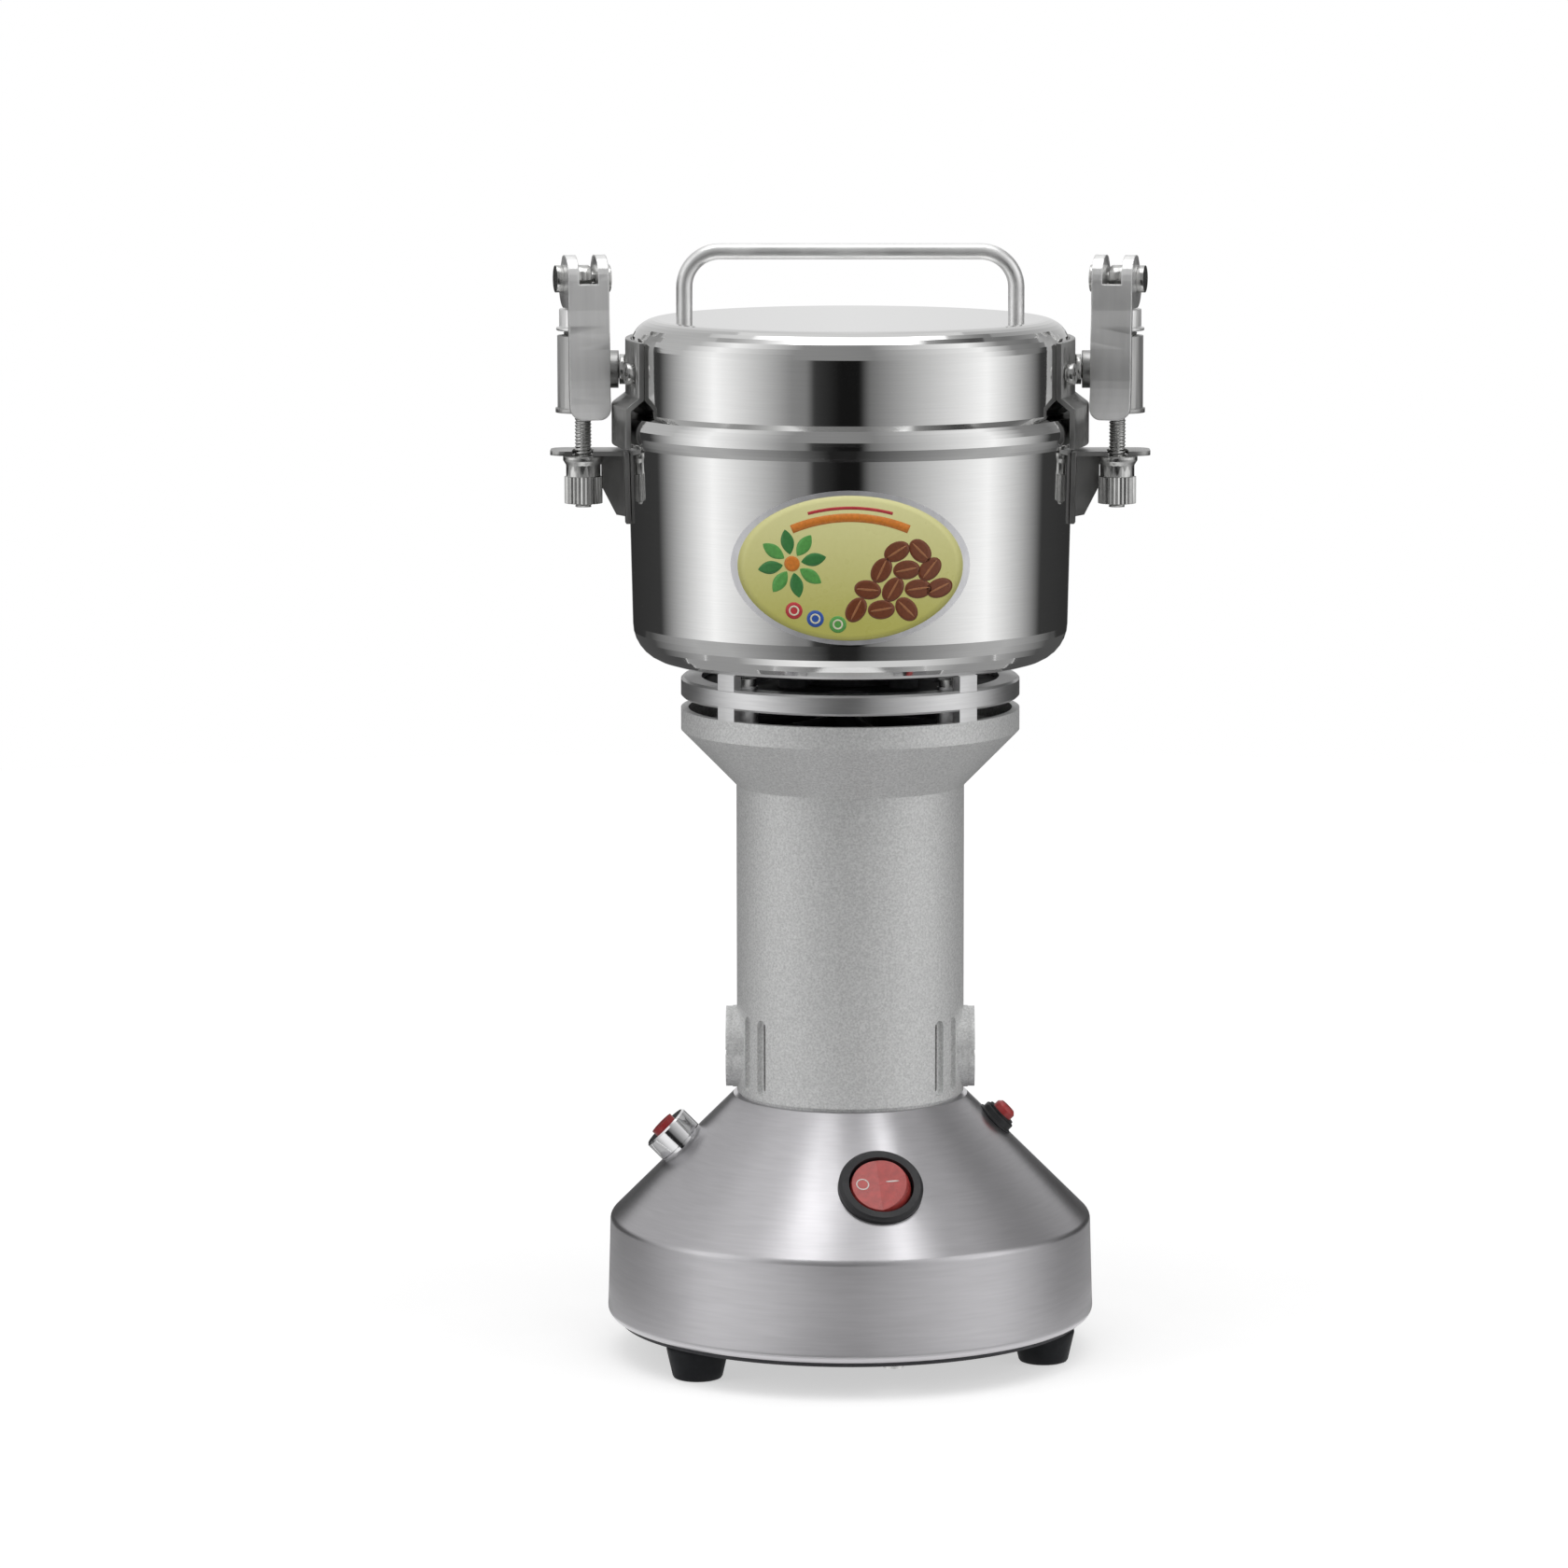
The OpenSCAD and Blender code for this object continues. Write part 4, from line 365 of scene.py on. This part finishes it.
ROD_R = 2.25
ROD_SIDES = 28
ROD_TURNS = [2 * math.pi * i / ROD_SIDES for i in range(ROD_SIDES)]
THREAD_PITCH = 0.93
THREAD_DEPTH = 0.32
THREAD_STEPS = 8
THREAD_END = 0.05
EYE_R = 3.6
EYE_HOLE_R = 2.05
EYE_W = 4.0
EYE_EDGE = 0.4
SHANK_GAP = 0.5


def lever_axis(side):
    for joint in frame["joints"]:
        if joint["name"] == f"lever_{side}":
            return Vector(joint["axis"])


def thread_radius(z, turn):
    phase = (z / THREAD_PITCH - turn / (2 * math.pi)) % 1
    return ROD_R - THREAD_DEPTH * abs(2 * phase - 1)


def shank_heights(low_z, smooth_z, pin_z):
    """Heights of the thread's rings up to smooth_z, then of the plain shank's two."""
    heights = [low_z]
    while heights[-1] < smooth_z:
        heights.append(heights[-1] + THREAD_PITCH / THREAD_STEPS)
    return heights + [heights[-1] + THREAD_END, pin_z - EYE_HOLE_R - SHANK_GAP]


def shank_points(heights, smooth_z, middle_x):
    points = []
    for z in heights:
        for turn in ROD_TURNS:
            r = ROD_R if z > smooth_z + THREAD_PITCH / 4 else thread_radius(z, turn)
            points.append((middle_x + r * math.cos(turn) * MM, r * math.sin(turn) * MM, z * MM))
    return points


def eye_profile():
    """Section of the eye, closed on itself: place along the pin, and radius."""
    half = EYE_W / 2
    return [
        (-half, EYE_HOLE_R), (-half, EYE_R - EYE_EDGE), (EYE_EDGE - half, EYE_R),
        (half - EYE_EDGE, EYE_R), (half, EYE_R - EYE_EDGE), (half, EYE_HOLE_R), (-half, EYE_HOLE_R),
    ]


def eye_points(profile, axis, middle_x, pin_z):
    points = []
    for x, r in profile:
        for turn in ROD_TURNS:
            sideways = r * math.sin(turn)
            across = x * axis.x - sideways * axis.y
            along = x * axis.y + sideways * axis.x
            points.append((middle_x + across * MM, along * MM, (pin_z + r * math.cos(turn)) * MM))
    return points


def threaded_rod(side):
    low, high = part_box(f"clamp_rod_{side}")
    smooth_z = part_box(f"clamp_hat_{side}")[0].z / MM
    pin_z = high.z / MM - EYE_R
    middle_x = (low.x + high.x) / 2
    heights = shank_heights(low.z / MM, smooth_z, pin_z)
    profile = eye_profile()
    shank = shank_points(heights, smooth_z, middle_x)
    eye = eye_points(profile, lever_axis(side), middle_x, pin_z)
    faces = grid_faces(len(heights), ROD_SIDES)
    faces.append(tuple(reversed(range(ROD_SIDES))))
    faces.append(tuple(range(len(shank) - ROD_SIDES, len(shank))))
    faces += grid_faces(len(profile), ROD_SIDES, first=len(shank))
    rod = add_piece(
        f"threaded_rod_{side}", shank + eye, faces, MATERIALS["plated_rod"], f"rod_{side}")
    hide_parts(f"clamp_rod_{side}")


for side in SIDES:
    threaded_rod(side)


# Prints that lie on a CAD node: a shape gives points across and along, and each drops onto the node

DROP_FROM = 0.03
FILM_MM = 0.02
FILM_WELD_GAP = 1e-7
LEAF_BELLY = 0.8


class Print:
    """A node's face to print on: u millimetres to the right and v up from its origin."""

    def __init__(self, node, body, origin, right, up, slot):
        self.body = body
        self.slot = slot
        self.origin = Vector(origin)
        self.right = Vector(right)
        self.up = Vector(up)
        self.inward = self.up.cross(self.right).normalized()
        self.tree = BVHTree.FromObject(nodes[node], bpy.context.evaluated_depsgraph_get())

    def drop(self, u, v, lift_mm):
        start = self.origin + (self.right * u + self.up * v) * MM - self.inward * DROP_FROM
        hit, normal, _, _ = self.tree.ray_cast(start, self.inward)
        if normal.dot(self.inward) > 0:
            normal = -normal
        return hit + normal * lift_mm * MM

    def patch(self, name, shape, material, lift_mm, across, along, closed=True):
        columns = along if closed else along + 1
        points = []
        for a in range(across + 1):
            for b in range(columns):
                points.append(self.drop(*shape(a / across, b / along), lift_mm))
        faces = grid_faces(across + 1, columns, closed=closed)
        piece = add_piece(name, points, faces, material, self.body)
        weld = piece.modifiers.new("weld", "WELD")
        weld.merge_threshold = FILM_WELD_GAP
        film = piece.modifiers.new("film", "SOLIDIFY")
        film.thickness = FILM_MM * MM


def turned(centre, u, v, turn):
    """The point u, v turned by degrees and moved to the centre."""
    c = math.cos(math.radians(turn))
    s = math.sin(math.radians(turn))
    return centre[0] + c * u - s * v, centre[1] + s * u + c * v


def oval(centre, radii, turn=0.0, hole=0.0):
    def shape(a, b):
        size = hole + (1 - hole) * a
        u = radii[0] * size * math.cos(2 * math.pi * b)
        v = radii[1] * size * math.sin(2 * math.pi * b)
        return turned(centre, u, v, turn)
    return shape


def leaf(start, length, width, turn):
    def shape(a, b):
        belly = math.sin(math.pi * b) ** LEAF_BELLY
        return turned(start, length * b, width * belly * (a - 0.5), turn)
    return shape


def band(centre, r_in, r_out, first, last):
    def shape(a, b):
        r = r_in + (r_out - r_in) * a
        turn = math.radians(first + (last - first) * b)
        return centre[0] + r * math.cos(turn), centre[1] + r * math.sin(turn)
    return shape


# Oval label with a generic print: two bands, beans, a leaf rosette and ringed dots, in millimetres

LABEL_W = 62.0
LABEL_H = 40.0
LABEL_RIM = 0.94
FIELD_LOW = (0.62, 0.60, 0.15)
FIELD_HIGH = (1.0, 0.97, 0.48)
INKS = {
    "orange": (0.80, 0.25, 0.03), "bean": (0.20, 0.055, 0.02), "crease": (0.42, 0.17, 0.07),
    "green": (0.12, 0.42, 0.09), "leaf": (0.05, 0.24, 0.06), "red": (0.62, 0.05, 0.06),
    "blue": (0.04, 0.12, 0.48), "cream": (0.85, 0.82, 0.62),
}
# Heights over the label's sheet, so that what overlaps lies in order
FIELD_LIFT = 0.04
INK_LIFT = 0.07
BEAN_LIFT = 0.08
HEART_LIFT = 0.09
RING_LIFT = 0.10
CREASE_LIFT = 0.11
BAND_CENTRE = (0, -24)
BEAN_ROWS = [(-10.8, (1.5, 8, 14.5)), (-5.6, (4.5, 11, 17.5, 23)), (-0.6, (8, 14.5, 20.5)), (4.2, (12, 18))]
BEAN_RADII = (3.5, 2.5)
CREASE_RADII = (2.9, 0.3)
CREASE_TURN = 6
ROSETTE = (-15, 1)
ROSETTE_R = 2.4
HEART_RADII = (2.0, 2.0)
LEAVES = 8
LEAF_L = 6.6
LEAF_W = 3.4
LEAF_TURN = 12
DOTS = [((-14.5, -11.2), "red"), ((-9, -13.2), "blue"), ((-3.2, -14.6), "green")]
DOT_RADII = (2.2, 2.2)
RING_RADII = (1.35, 1.35)
RING_HOLE = 0.68


def label_field():
    """Green-yellow that grows lighter up the label."""
    finish = Finish("label_field", (0.66, 0.66, 0.18), roughness=0.3)
    height = finish.place_xyz()[2]
    low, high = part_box("bowl_label")
    rise = finish.math("DIVIDE", finish.math("SUBTRACT", height, low.z), high.z - low.z)
    speck = finish.math("MULTIPLY", finish.noise(scale=900), 0.12)
    finish.tint(finish.math("ADD", rise, speck), FIELD_LOW, FIELD_HIGH, start=0.2, end=1.0)
    finish.gloss(finish.noise(scale=160, detail=2), low=0.24, high=0.36)
    return finish.material


def bean_turn(u, v):
    """Degrees that differ from bean to bean and stay the same from run to run."""
    return (u * 47 + v * 29) % 120 - 60


def print_beans(sheet, inks):
    for v, row in BEAN_ROWS:
        for u in row:
            turn = bean_turn(u, v)
            key = f"{u:g}_{v:g}".replace(".", "p").replace("-", "m")
            bean = oval((u, v), BEAN_RADII, turn)
            sheet.patch(f"label_bean_{key}", bean, inks["bean"], BEAN_LIFT, across=4, along=28)
            crease = oval((u, v), CREASE_RADII, turn + CREASE_TURN)
            sheet.patch(f"label_crease_{key}", crease, inks["crease"], CREASE_LIFT, across=2, along=24)


def print_rosette(sheet, inks):
    for i in range(LEAVES):
        turn = i * 360 / LEAVES + LEAF_TURN
        blade = leaf(turned(ROSETTE, ROSETTE_R, 0, turn), LEAF_L, LEAF_W, turn)
        green = inks["green"] if i % 2 else inks["leaf"]
        sheet.patch(f"label_leaf_{i}", blade, green, INK_LIFT, across=4, along=18, closed=False)
    heart = oval(ROSETTE, HEART_RADII)
    sheet.patch("label_heart", heart, inks["orange"], HEART_LIFT, across=3, along=28)


def print_dots(sheet, inks):
    for i, (centre, colour) in enumerate(DOTS):
        dot = oval(centre, DOT_RADII)
        sheet.patch(f"label_dot_{i}", dot, inks[colour], INK_LIFT, across=3, along=28)
        ring = oval(centre, RING_RADII, hole=RING_HOLE)
        sheet.patch(f"label_ring_{i}", ring, inks["cream"], RING_LIFT, across=1, along=28)


def label_print():
    low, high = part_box("bowl_label")
    origin = (0, low.y, (low.z + high.z) / 2)
    sheet = Print("bowl_label", "root", origin, right=(1, 0, 0), up=(0, 0, 1), slot="label")
    inks = {name: ink(f"ink_{name}", colour) for name, colour in INKS.items()}
    field = oval((0, 0), (LABEL_W / 2 * LABEL_RIM, LABEL_H / 2 * LABEL_RIM))
    sheet.patch("label_field", field, label_field(), FIELD_LIFT, across=14, along=96)
    wide = band(BAND_CENTRE, r_in=36, r_out=38.2, first=66, last=114)
    sheet.patch("label_band_wide", wide, inks["orange"], INK_LIFT, across=2, along=40, closed=False)
    thin = band(BAND_CENTRE, r_in=39.2, r_out=40, first=74, last=106)
    sheet.patch("label_band_thin", thin, inks["red"], INK_LIFT, across=1, along=32, closed=False)
    print_beans(sheet, inks)
    print_rosette(sheet, inks)
    print_dots(sheet, inks)


# Off and on marks of the rocker, in millimetres

SWITCH_SLOPE = math.radians(45)
SWITCH_TURN = math.radians(9.5 - 90)
MARK_LIFT = 0.05


def rocker_marks():
    out = Vector((math.cos(SWITCH_TURN), math.sin(SWITCH_TURN), 0))
    across = Vector((-math.sin(SWITCH_TURN), math.cos(SWITCH_TURN), 0))
    up_slope = Vector((0, 0, 1)) * math.sin(SWITCH_SLOPE) - out * math.cos(SWITCH_SLOPE)
    low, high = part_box("rocker")
    face = Print("rocker", "rocker", (low + high) / 2, across, up_slope, "red_rocker")
    white = ink("ink_mark", (0.86, 0.78, 0.74))
    circle = oval((-4.9, 0.4), (1.75, 1.75), hole=0.8)
    face.patch("mark_off", circle, white, MARK_LIFT, across=2, along=40)
    bar = oval((2.9, 0.4), (1.7, 0.24), turn=-10)
    face.patch("mark_on", bar, white, MARK_LIFT, across=3, along=32)


label_print()
rocker_marks()


# Floor and world

ROUND_SIDES = 96
FLOOR_R = 1.2
NEAR_R = 0.25
FAR_R = 0.8
NEAR_GLOW = 0.54
FAR_GLOW = 0.66
FLOOR_BOUNCE = (0.38, 0.38, 0.38, 1)
WORLD_LIGHT = 0.45


def floor_glow(finish):
    """Emission that grows away from the object, so that the floor ends in white."""
    away = finish.node("ShaderNodeVectorMath", operation="LENGTH")
    finish.link(finish.place(), away.inputs[0])
    rise = finish.node("ShaderNodeMapRange", interpolation_type="SMOOTHSTEP")
    rise.inputs["From Min"].default_value = NEAR_R
    rise.inputs["From Max"].default_value = FAR_R
    rise.inputs["To Min"].default_value = NEAR_GLOW
    rise.inputs["To Max"].default_value = FAR_GLOW
    finish.link(away.outputs["Value"], rise.inputs["Value"])
    glow = finish.node("ShaderNodeEmission")
    finish.link(rise.outputs[0], glow.inputs["Strength"])
    return glow


def floor_paper():
    """Pale paper to the camera and in reflections, and a plain grey to the light it throws back."""
    finish = Finish("floor_paper", (0.80, 0.80, 0.80), roughness=0.9)
    finish.tint(finish.noise(scale=30), (0.69, 0.69, 0.69), (0.71, 0.71, 0.71))
    finish.set("Specular IOR Level", 0.0)
    both = finish.node("ShaderNodeAddShader")
    finish.link(finish.shader.outputs[0], both.inputs[0])
    finish.link(floor_glow(finish).outputs[0], both.inputs[1])
    bounce = finish.node("ShaderNodeBsdfDiffuse")
    bounce.inputs["Color"].default_value = FLOOR_BOUNCE
    path = finish.node("ShaderNodeLightPath")
    seen = finish.math("MAXIMUM", path.outputs["Is Camera Ray"], path.outputs["Is Glossy Ray"])
    pick = finish.node("ShaderNodeMixShader")
    finish.link(seen, pick.inputs[0])
    finish.link(bounce.outputs[0], pick.inputs[1])
    finish.link(both.outputs[0], pick.inputs[2])
    finish.show(pick)
    return finish.material


def studio_floor():
    bpy.ops.mesh.primitive_circle_add(vertices=ROUND_SIDES, radius=FLOOR_R, fill_type="NGON")
    floor = bpy.context.object
    floor.name = "studio_floor"
    floor.data.materials.append(floor_paper())


def studio_world():
    """White where it is seen, and dimmer as a light."""
    world = bpy.data.worlds.new("studio_world")
    bpy.context.scene.world = world
    world.use_nodes = True
    tree = world.node_tree
    background = tree.nodes["Background"]
    background.inputs["Color"].default_value = (1, 1, 1, 1)
    path = tree.nodes.new("ShaderNodeLightPath")
    seen = path.outputs["Is Camera Ray"]
    for ray in ("Is Glossy Ray", "Is Transmission Ray"):
        most = tree.nodes.new("ShaderNodeMath")
        most.operation = "MAXIMUM"
        tree.links.new(seen, most.inputs[0])
        tree.links.new(path.outputs[ray], most.inputs[1])
        seen = most.outputs[0]
    level = tree.nodes.new("ShaderNodeMapRange")
    level.inputs["To Min"].default_value = WORLD_LIGHT
    level.inputs["To Max"].default_value = 1.0
    tree.links.new(seen, level.inputs["Value"])
    tree.links.new(level.outputs[0], background.inputs["Strength"])


# Screens that only reflections see, round, over and under the object

SCREEN_R = 1.1
SCREEN_H = 0.3
OVER_H = 1.5
OVER_HALF = 1.5
FRONT_Y = -0.55
BACK_Y = 0.36
UNDER_H = 0.002
FLOOR_RINGS = (0.075, 0.1, 0.24, 1.1)

# Light that only reflections see, on screens round the object: degrees from the camera's side, left
# negative, and the level there, straight between these corners. They stand for a softbox on each side,
# dark flags in front and beyond the boxes, and a pale backdrop. The levels here and overhead were fitted
# to the photo: they go back to grey levels read off its steel, changed against renders.
BOX_TURN = 74
ROUND_LEVELS = [
    (-180, 0.82), (-173, 0.8), (-167, 0.03), (-116, 0.05), (-BOX_TURN, 1.25), (-30, 0.3), (-22, 0.25),
    (-18, 0.05), (-5, 0.01), (5, 0.01), (10, 0.2), (BOX_TURN, 1.25), (116, 0.05), (167, 0.03), (173, 0.8),
    (180, 0.82),
]
# The same higher up, without the front flag and with paler corners behind
HIGH_LEVELS = [
    (-180, 0.82), (-160, 0.62), (-135, 0.55), (-97, 0.6), (-BOX_TURN, 1.2), (-30, 0.32), (12, 0.28),
    (BOX_TURN, 1.2), (95, 0.3), (117, 0.2), (160, 0.6), (180, 0.82),
]
# The same on the floor, and on the ring of floor that the base's wall sees
FLOOR_LEVELS = [
    (-180, 0.08), (-130, 0.08), (-89, 0.52), (-67, 0.52), (-10, 0.02), (3, 0.02), (67, 0.5), (89, 0.54),
    (130, 0.1), (180, 0.08),
]
WALL_LEVELS = [
    (-180, 0.35), (-72, 0.38), (-47, 0.95), (-29, 1.1), (0, 0.82), (47, 0.82), (89, 0.37), (180, 0.35),
]
# The levels overhead, by metres to the right
OVER_LEVELS = [
    (-1.5, 0.5), (-0.95, 0.46), (-0.7, 0.8), (-0.5, 1.4), (-0.42, 2.7), (-0.17, 2.6), (-0.1, 1.8),
    (0, 1.6), (0.17, 1.5), (0.32, 1.7), (0.42, 3.6), (0.5, 1.8), (0.6, 0.45), (0.7, 0.3), (0.95, 0.1),
    (1.5, 0.1),
]
# The same further back
BACK_LEVELS = [
    (-1.5, 0.5), (-0.95, 0.46), (-0.7, 0.8), (-0.45, 0.9), (0, 0.82), (0.45, 0.85), (0.6, 0.45),
    (0.7, 0.3), (0.95, 0.1), (1.5, 0.1),
]


def degrees_from_camera(finish, xyz):
    turn = finish.math("ARCTAN2", xyz[0], finish.math("MULTIPLY", xyz[1], -1.0))
    return finish.math("MULTIPLY", turn, 180 / math.pi)


def metres_right(finish, xyz):
    return xyz[0]


def screen_paint(name, levels, measure):
    """Emission that follows a list of levels along what measure works out from the place."""
    finish = Finish(name, (0, 0, 0))
    first = levels[0][0]
    length = levels[-1][0] - first
    peak = max(level for _, level in levels)
    ramp = finish.node("ShaderNodeValToRGB")
    stops = ramp.color_ramp.elements
    while len(stops) < len(levels):
        stops.new(1.0)
    for stop, (at, level) in zip(stops, levels):
        stop.position = (at - first) / length
        stop.color = (level / peak, level / peak, level / peak, 1)
    measured = measure(finish, finish.place_xyz())
    fac = finish.math("DIVIDE", finish.math("SUBTRACT", measured, first), length)
    glow = finish.node("ShaderNodeEmission")
    glow.inputs["Strength"].default_value = peak
    finish.material.cycles.emission_sampling = "NONE"
    finish.link(fac, ramp.inputs[0])
    finish.link(ramp.outputs[0], glow.inputs["Color"])
    finish.show(glow)
    return finish.material


def screen(material):
    """Turns the new active object into a screen that only reflections see."""
    card = bpy.context.object
    card.name = material.name
    card.data.materials.append(material)
    for ray in ("visible_camera", "visible_diffuse", "visible_shadow", "visible_transmission"):
        setattr(card, ray, False)


def wall_screen(name, levels, low_z, high_z):
    depth = high_z - low_z
    bpy.ops.mesh.primitive_cylinder_add(
        vertices=ROUND_SIDES, radius=SCREEN_R, depth=depth, end_fill_type="NOTHING",
        location=(0, 0, low_z + depth / 2))
    screen(screen_paint(name, levels, degrees_from_camera))


def floor_screen(name, levels, r_in, r_out):
    bpy.ops.mesh.primitive_cone_add(
        vertices=ROUND_SIDES, radius1=r_out, radius2=r_in, depth=UNDER_H, end_fill_type="NOTHING",
        location=(0, 0, UNDER_H))
    screen(screen_paint(name, levels, degrees_from_camera))


def flat_screen(name, levels, measure, y_front, y_back):
    """Level screen overhead, between two distances from the object."""
    mesh = bpy.data.meshes.new(name)
    corners = [(-OVER_HALF, y_front), (OVER_HALF, y_front), (OVER_HALF, y_back), (-OVER_HALF, y_back)]
    mesh.from_pydata([(x, y, OVER_H) for x, y in corners], [], [(0, 1, 2, 3)])
    card = bpy.data.objects.new(name, mesh)
    bpy.context.collection.objects.link(card)
    bpy.context.view_layer.objects.active = card
    screen(screen_paint(name, levels, measure))


def studio_screens():
    wall_screen("round_screen", ROUND_LEVELS, 0, SCREEN_H)
    wall_screen("high_screen", HIGH_LEVELS, SCREEN_H, OVER_H)
    for i, levels in enumerate((FLOOR_LEVELS, WALL_LEVELS, FLOOR_LEVELS)):
        floor_screen(f"floor_screen_{i}", levels, FLOOR_RINGS[i], FLOOR_RINGS[i + 1])
    flat_screen("front_screen", HIGH_LEVELS, degrees_from_camera, -OVER_HALF, FRONT_Y)
    flat_screen("over_screen", OVER_LEVELS, metres_right, FRONT_Y, BACK_Y)
    flat_screen("back_screen", BACK_LEVELS, metres_right, BACK_Y, OVER_HALF)


# Lamps and camera

def softbox(name, place, aim, size, watts):
    """Lamp for the shading alone: metal sees the screens instead."""
    lamp = bpy.data.lights.new(name, "AREA")
    lamp.shape = "RECTANGLE"
    lamp.size, lamp.size_y = size
    lamp.energy = watts
    box = bpy.data.objects.new(name, lamp)
    box.location = place
    box.rotation_euler = (Vector(aim) - Vector(place)).to_track_quat("-Z", "Y").to_euler()
    box.visible_glossy = False
    bpy.context.collection.objects.link(box)


def studio_lamps():
    softbox("top_box", place=(0.0, -0.5, 1.7), aim=(0, 0, 0.15), size=(1.6, 1.4), watts=9)
    softbox("left_box", place=(-1.7, -0.9, 0.7), aim=(0, 0, 0.18), size=(0.9, 1.5), watts=5)
    softbox("right_box", place=(1.7, -0.9, 0.7), aim=(0, 0, 0.18), size=(0.9, 1.5), watts=5)


def photo_camera():
    lens = bpy.data.cameras.new("photo_camera")
    camera = bpy.data.objects.new("photo_camera", lens)
    camera.location = (0, -CAMERA_DISTANCE, CAMERA_HEIGHT)
    to_aim = Vector((0, 0, AIM_HEIGHT)) - camera.location
    camera.rotation_euler = to_aim.to_track_quat("-Z", "Y").to_euler()
    lens.sensor_width = SENSOR_MM
    lens.lens = SENSOR_MM * to_aim.length / (IMAGE_PX * MM_PER_PX * MM)
    lens.shift_x = -(AXIS_PX - IMAGE_PX / 2) / IMAGE_PX
    bpy.context.collection.objects.link(camera)
    bpy.context.scene.camera = camera


studio_floor()
studio_world()
studio_lamps()
studio_screens()
photo_camera()
bpy.context.scene.view_settings.view_transform = "Standard"
